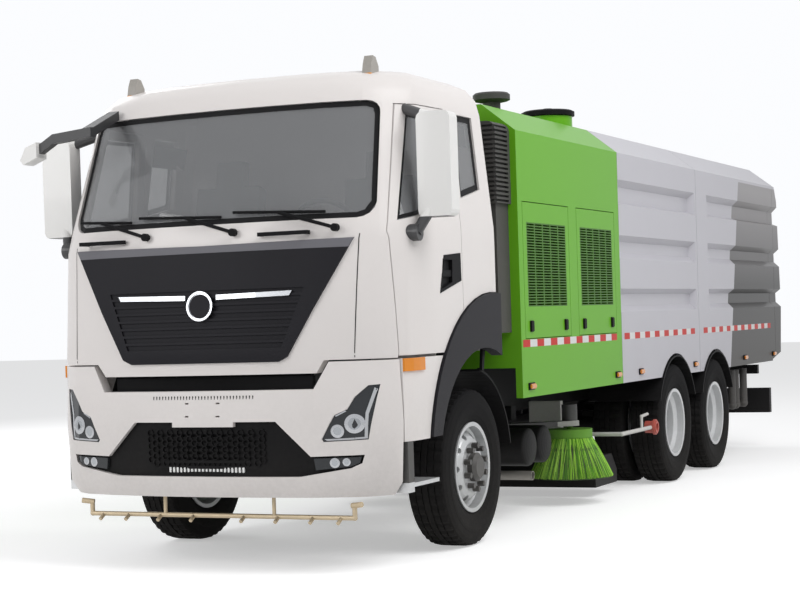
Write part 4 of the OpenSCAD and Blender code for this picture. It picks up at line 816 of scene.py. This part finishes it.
# Rear marking: red and white retro-reflective film along the tailgate's two sides and its foot.
# The pieces of film are stuck to the dark paint.
gate_skin = skin("tailgate")
gate_edge, gate_foot = 1.06, 1.25
gate_spots = [(sign * gate_edge, gate_foot + tape_length * k) for sign in (1, -1) for k in range(10)]
gate_spots += [(-0.91 + tape_length * k, gate_foot) for k in range(14)]
for color, mat, odd in (("red", red_tape, 0), ("white", white_tape, 1)):
    places = [(x, z) for n, (x, z) in enumerate(gate_spots) if n % 2 == odd]
    spots = upright_spots(gate_skin, places, "rear", 0.0)
    name = f"{color} tape gate"
    part = block("gate tape", (-tape_half, -0.0035, -tape_length / 2), (tape_half, 0.0003, tape_length / 2))
    piece(name, repeated(name, part, spots, mat), mat, "tailgate")

# Studio: a pale floor that runs to a white background, which the paint, metal and glass also show.
# Three large soft lamps light the truck, from above its left side, from the front and from its right.
def seen_directly(tree):
    rays = tree.nodes.new("ShaderNodeLightPath").outputs
    direct = maths(tree, "MAXIMUM", rays["Is Glossy Ray"], rays["Is Transmission Ray"])
    return maths(tree, "MAXIMUM", rays["Is Camera Ray"], direct)


floor_mesh = bpy.data.meshes.new("floor")
reach, floor_light, sky_lighting, sky_shown = 60, 0.42, 0.4, 1.0
floor_mesh.from_pydata([(-reach, -reach, 0), (reach, -reach, 0), (reach, reach, 0), (-reach, reach, 0)],
                       [], [(0, 1, 2, 3)])
floor = bpy.data.objects.new("floor", floor_mesh)
bpy.context.scene.collection.objects.link(floor)
floor_paint = bpy.data.materials.new("floor")
floor_paint.use_nodes = True
floor_tree = floor_paint.node_tree
floor_bsdf = floor_tree.nodes["Principled BSDF"]
floor_bsdf.inputs["Base Color"].default_value = (0.85, 0.85, 0.85, 1)
floor_bsdf.inputs["Roughness"].default_value = 0.9
floor_bsdf.inputs["Specular IOR Level"].default_value = 0.0
floor_glow = floor_tree.nodes.new("ShaderNodeMix")
floor_glow.data_type = "FLOAT"
floor_glow.inputs[2].default_value = 0.0
floor_glow.inputs[3].default_value = floor_light
floor_tree.links.new(seen_directly(floor_tree), floor_glow.inputs[0])
floor_tree.links.new(floor_glow.outputs[0], floor_bsdf.inputs["Emission Strength"])
floor_bsdf.inputs["Emission Color"].default_value = (1, 1, 1, 1)
floor_mesh.materials.append(floor_paint)

world = bpy.data.worlds.new("studio")
bpy.context.scene.world = world
world.use_nodes = True
sky = world.node_tree.nodes["Background"]
sky.inputs["Color"].default_value = (0.97, 0.98, 1.0, 1)
sky_level = world.node_tree.nodes.new("ShaderNodeMix")
sky_level.inputs[2].default_value = sky_lighting
sky_level.inputs[3].default_value = sky_shown
world.node_tree.links.new(seen_directly(world.node_tree), sky_level.inputs[0])
world.node_tree.links.new(sky_level.outputs[0], sky.inputs["Strength"])


def soft_light(name, place, target, size, power):
    data = bpy.data.lights.new(name, "AREA")
    data.size = size
    data.energy = power
    lamp = bpy.data.objects.new(name, data)
    lamp.location = place
    lamp.rotation_euler = (Vector(target) - Vector(place)).to_track_quat("-Z", "Y").to_euler()
    bpy.context.scene.collection.objects.link(lamp)


soft_light("top", (8, -4, 10), (0.5, 0.5, 1.5), 8.0, 860)
soft_light("front", (-6, -14, 6), (0, -4, 1.5), 6.0, 500)
soft_light("fill", (-11, 5, 8), (0, 1, 1.5), 7.0, 420)

# Camera at the photo's place and with its field of view.
# Its angles come from a fit to the wheels, the body's edges and the bumper's slots.
camera_data = bpy.data.cameras.new("camera")
camera = bpy.data.objects.new("camera", camera_data)
bpy.context.scene.collection.objects.link(camera)
bpy.context.scene.camera = camera
yaw, pitch, roll = -0.43739, -0.02256, -0.03255
ahead = Vector((math.sin(yaw) * math.cos(pitch), math.cos(yaw) * math.cos(pitch), math.sin(pitch)))
level = Vector((math.cos(yaw), -math.sin(yaw), 0))
upward = level.cross(ahead)
across = level * math.cos(roll) + upward * math.sin(roll)
above = upward * math.cos(roll) - level * math.sin(roll)
turned = Matrix((across, above, -ahead)).transposed().to_4x4()
turned.translation = Vector((5.76477, -14.59611, 1.52559))
camera.matrix_world = turned
camera_data.sensor_width = 36.0
camera_data.lens = 81.434
camera_data.shift_x = 0.00834
camera_data.shift_y = 0.0712

bpy.context.scene.view_settings.view_transform = "Standard"
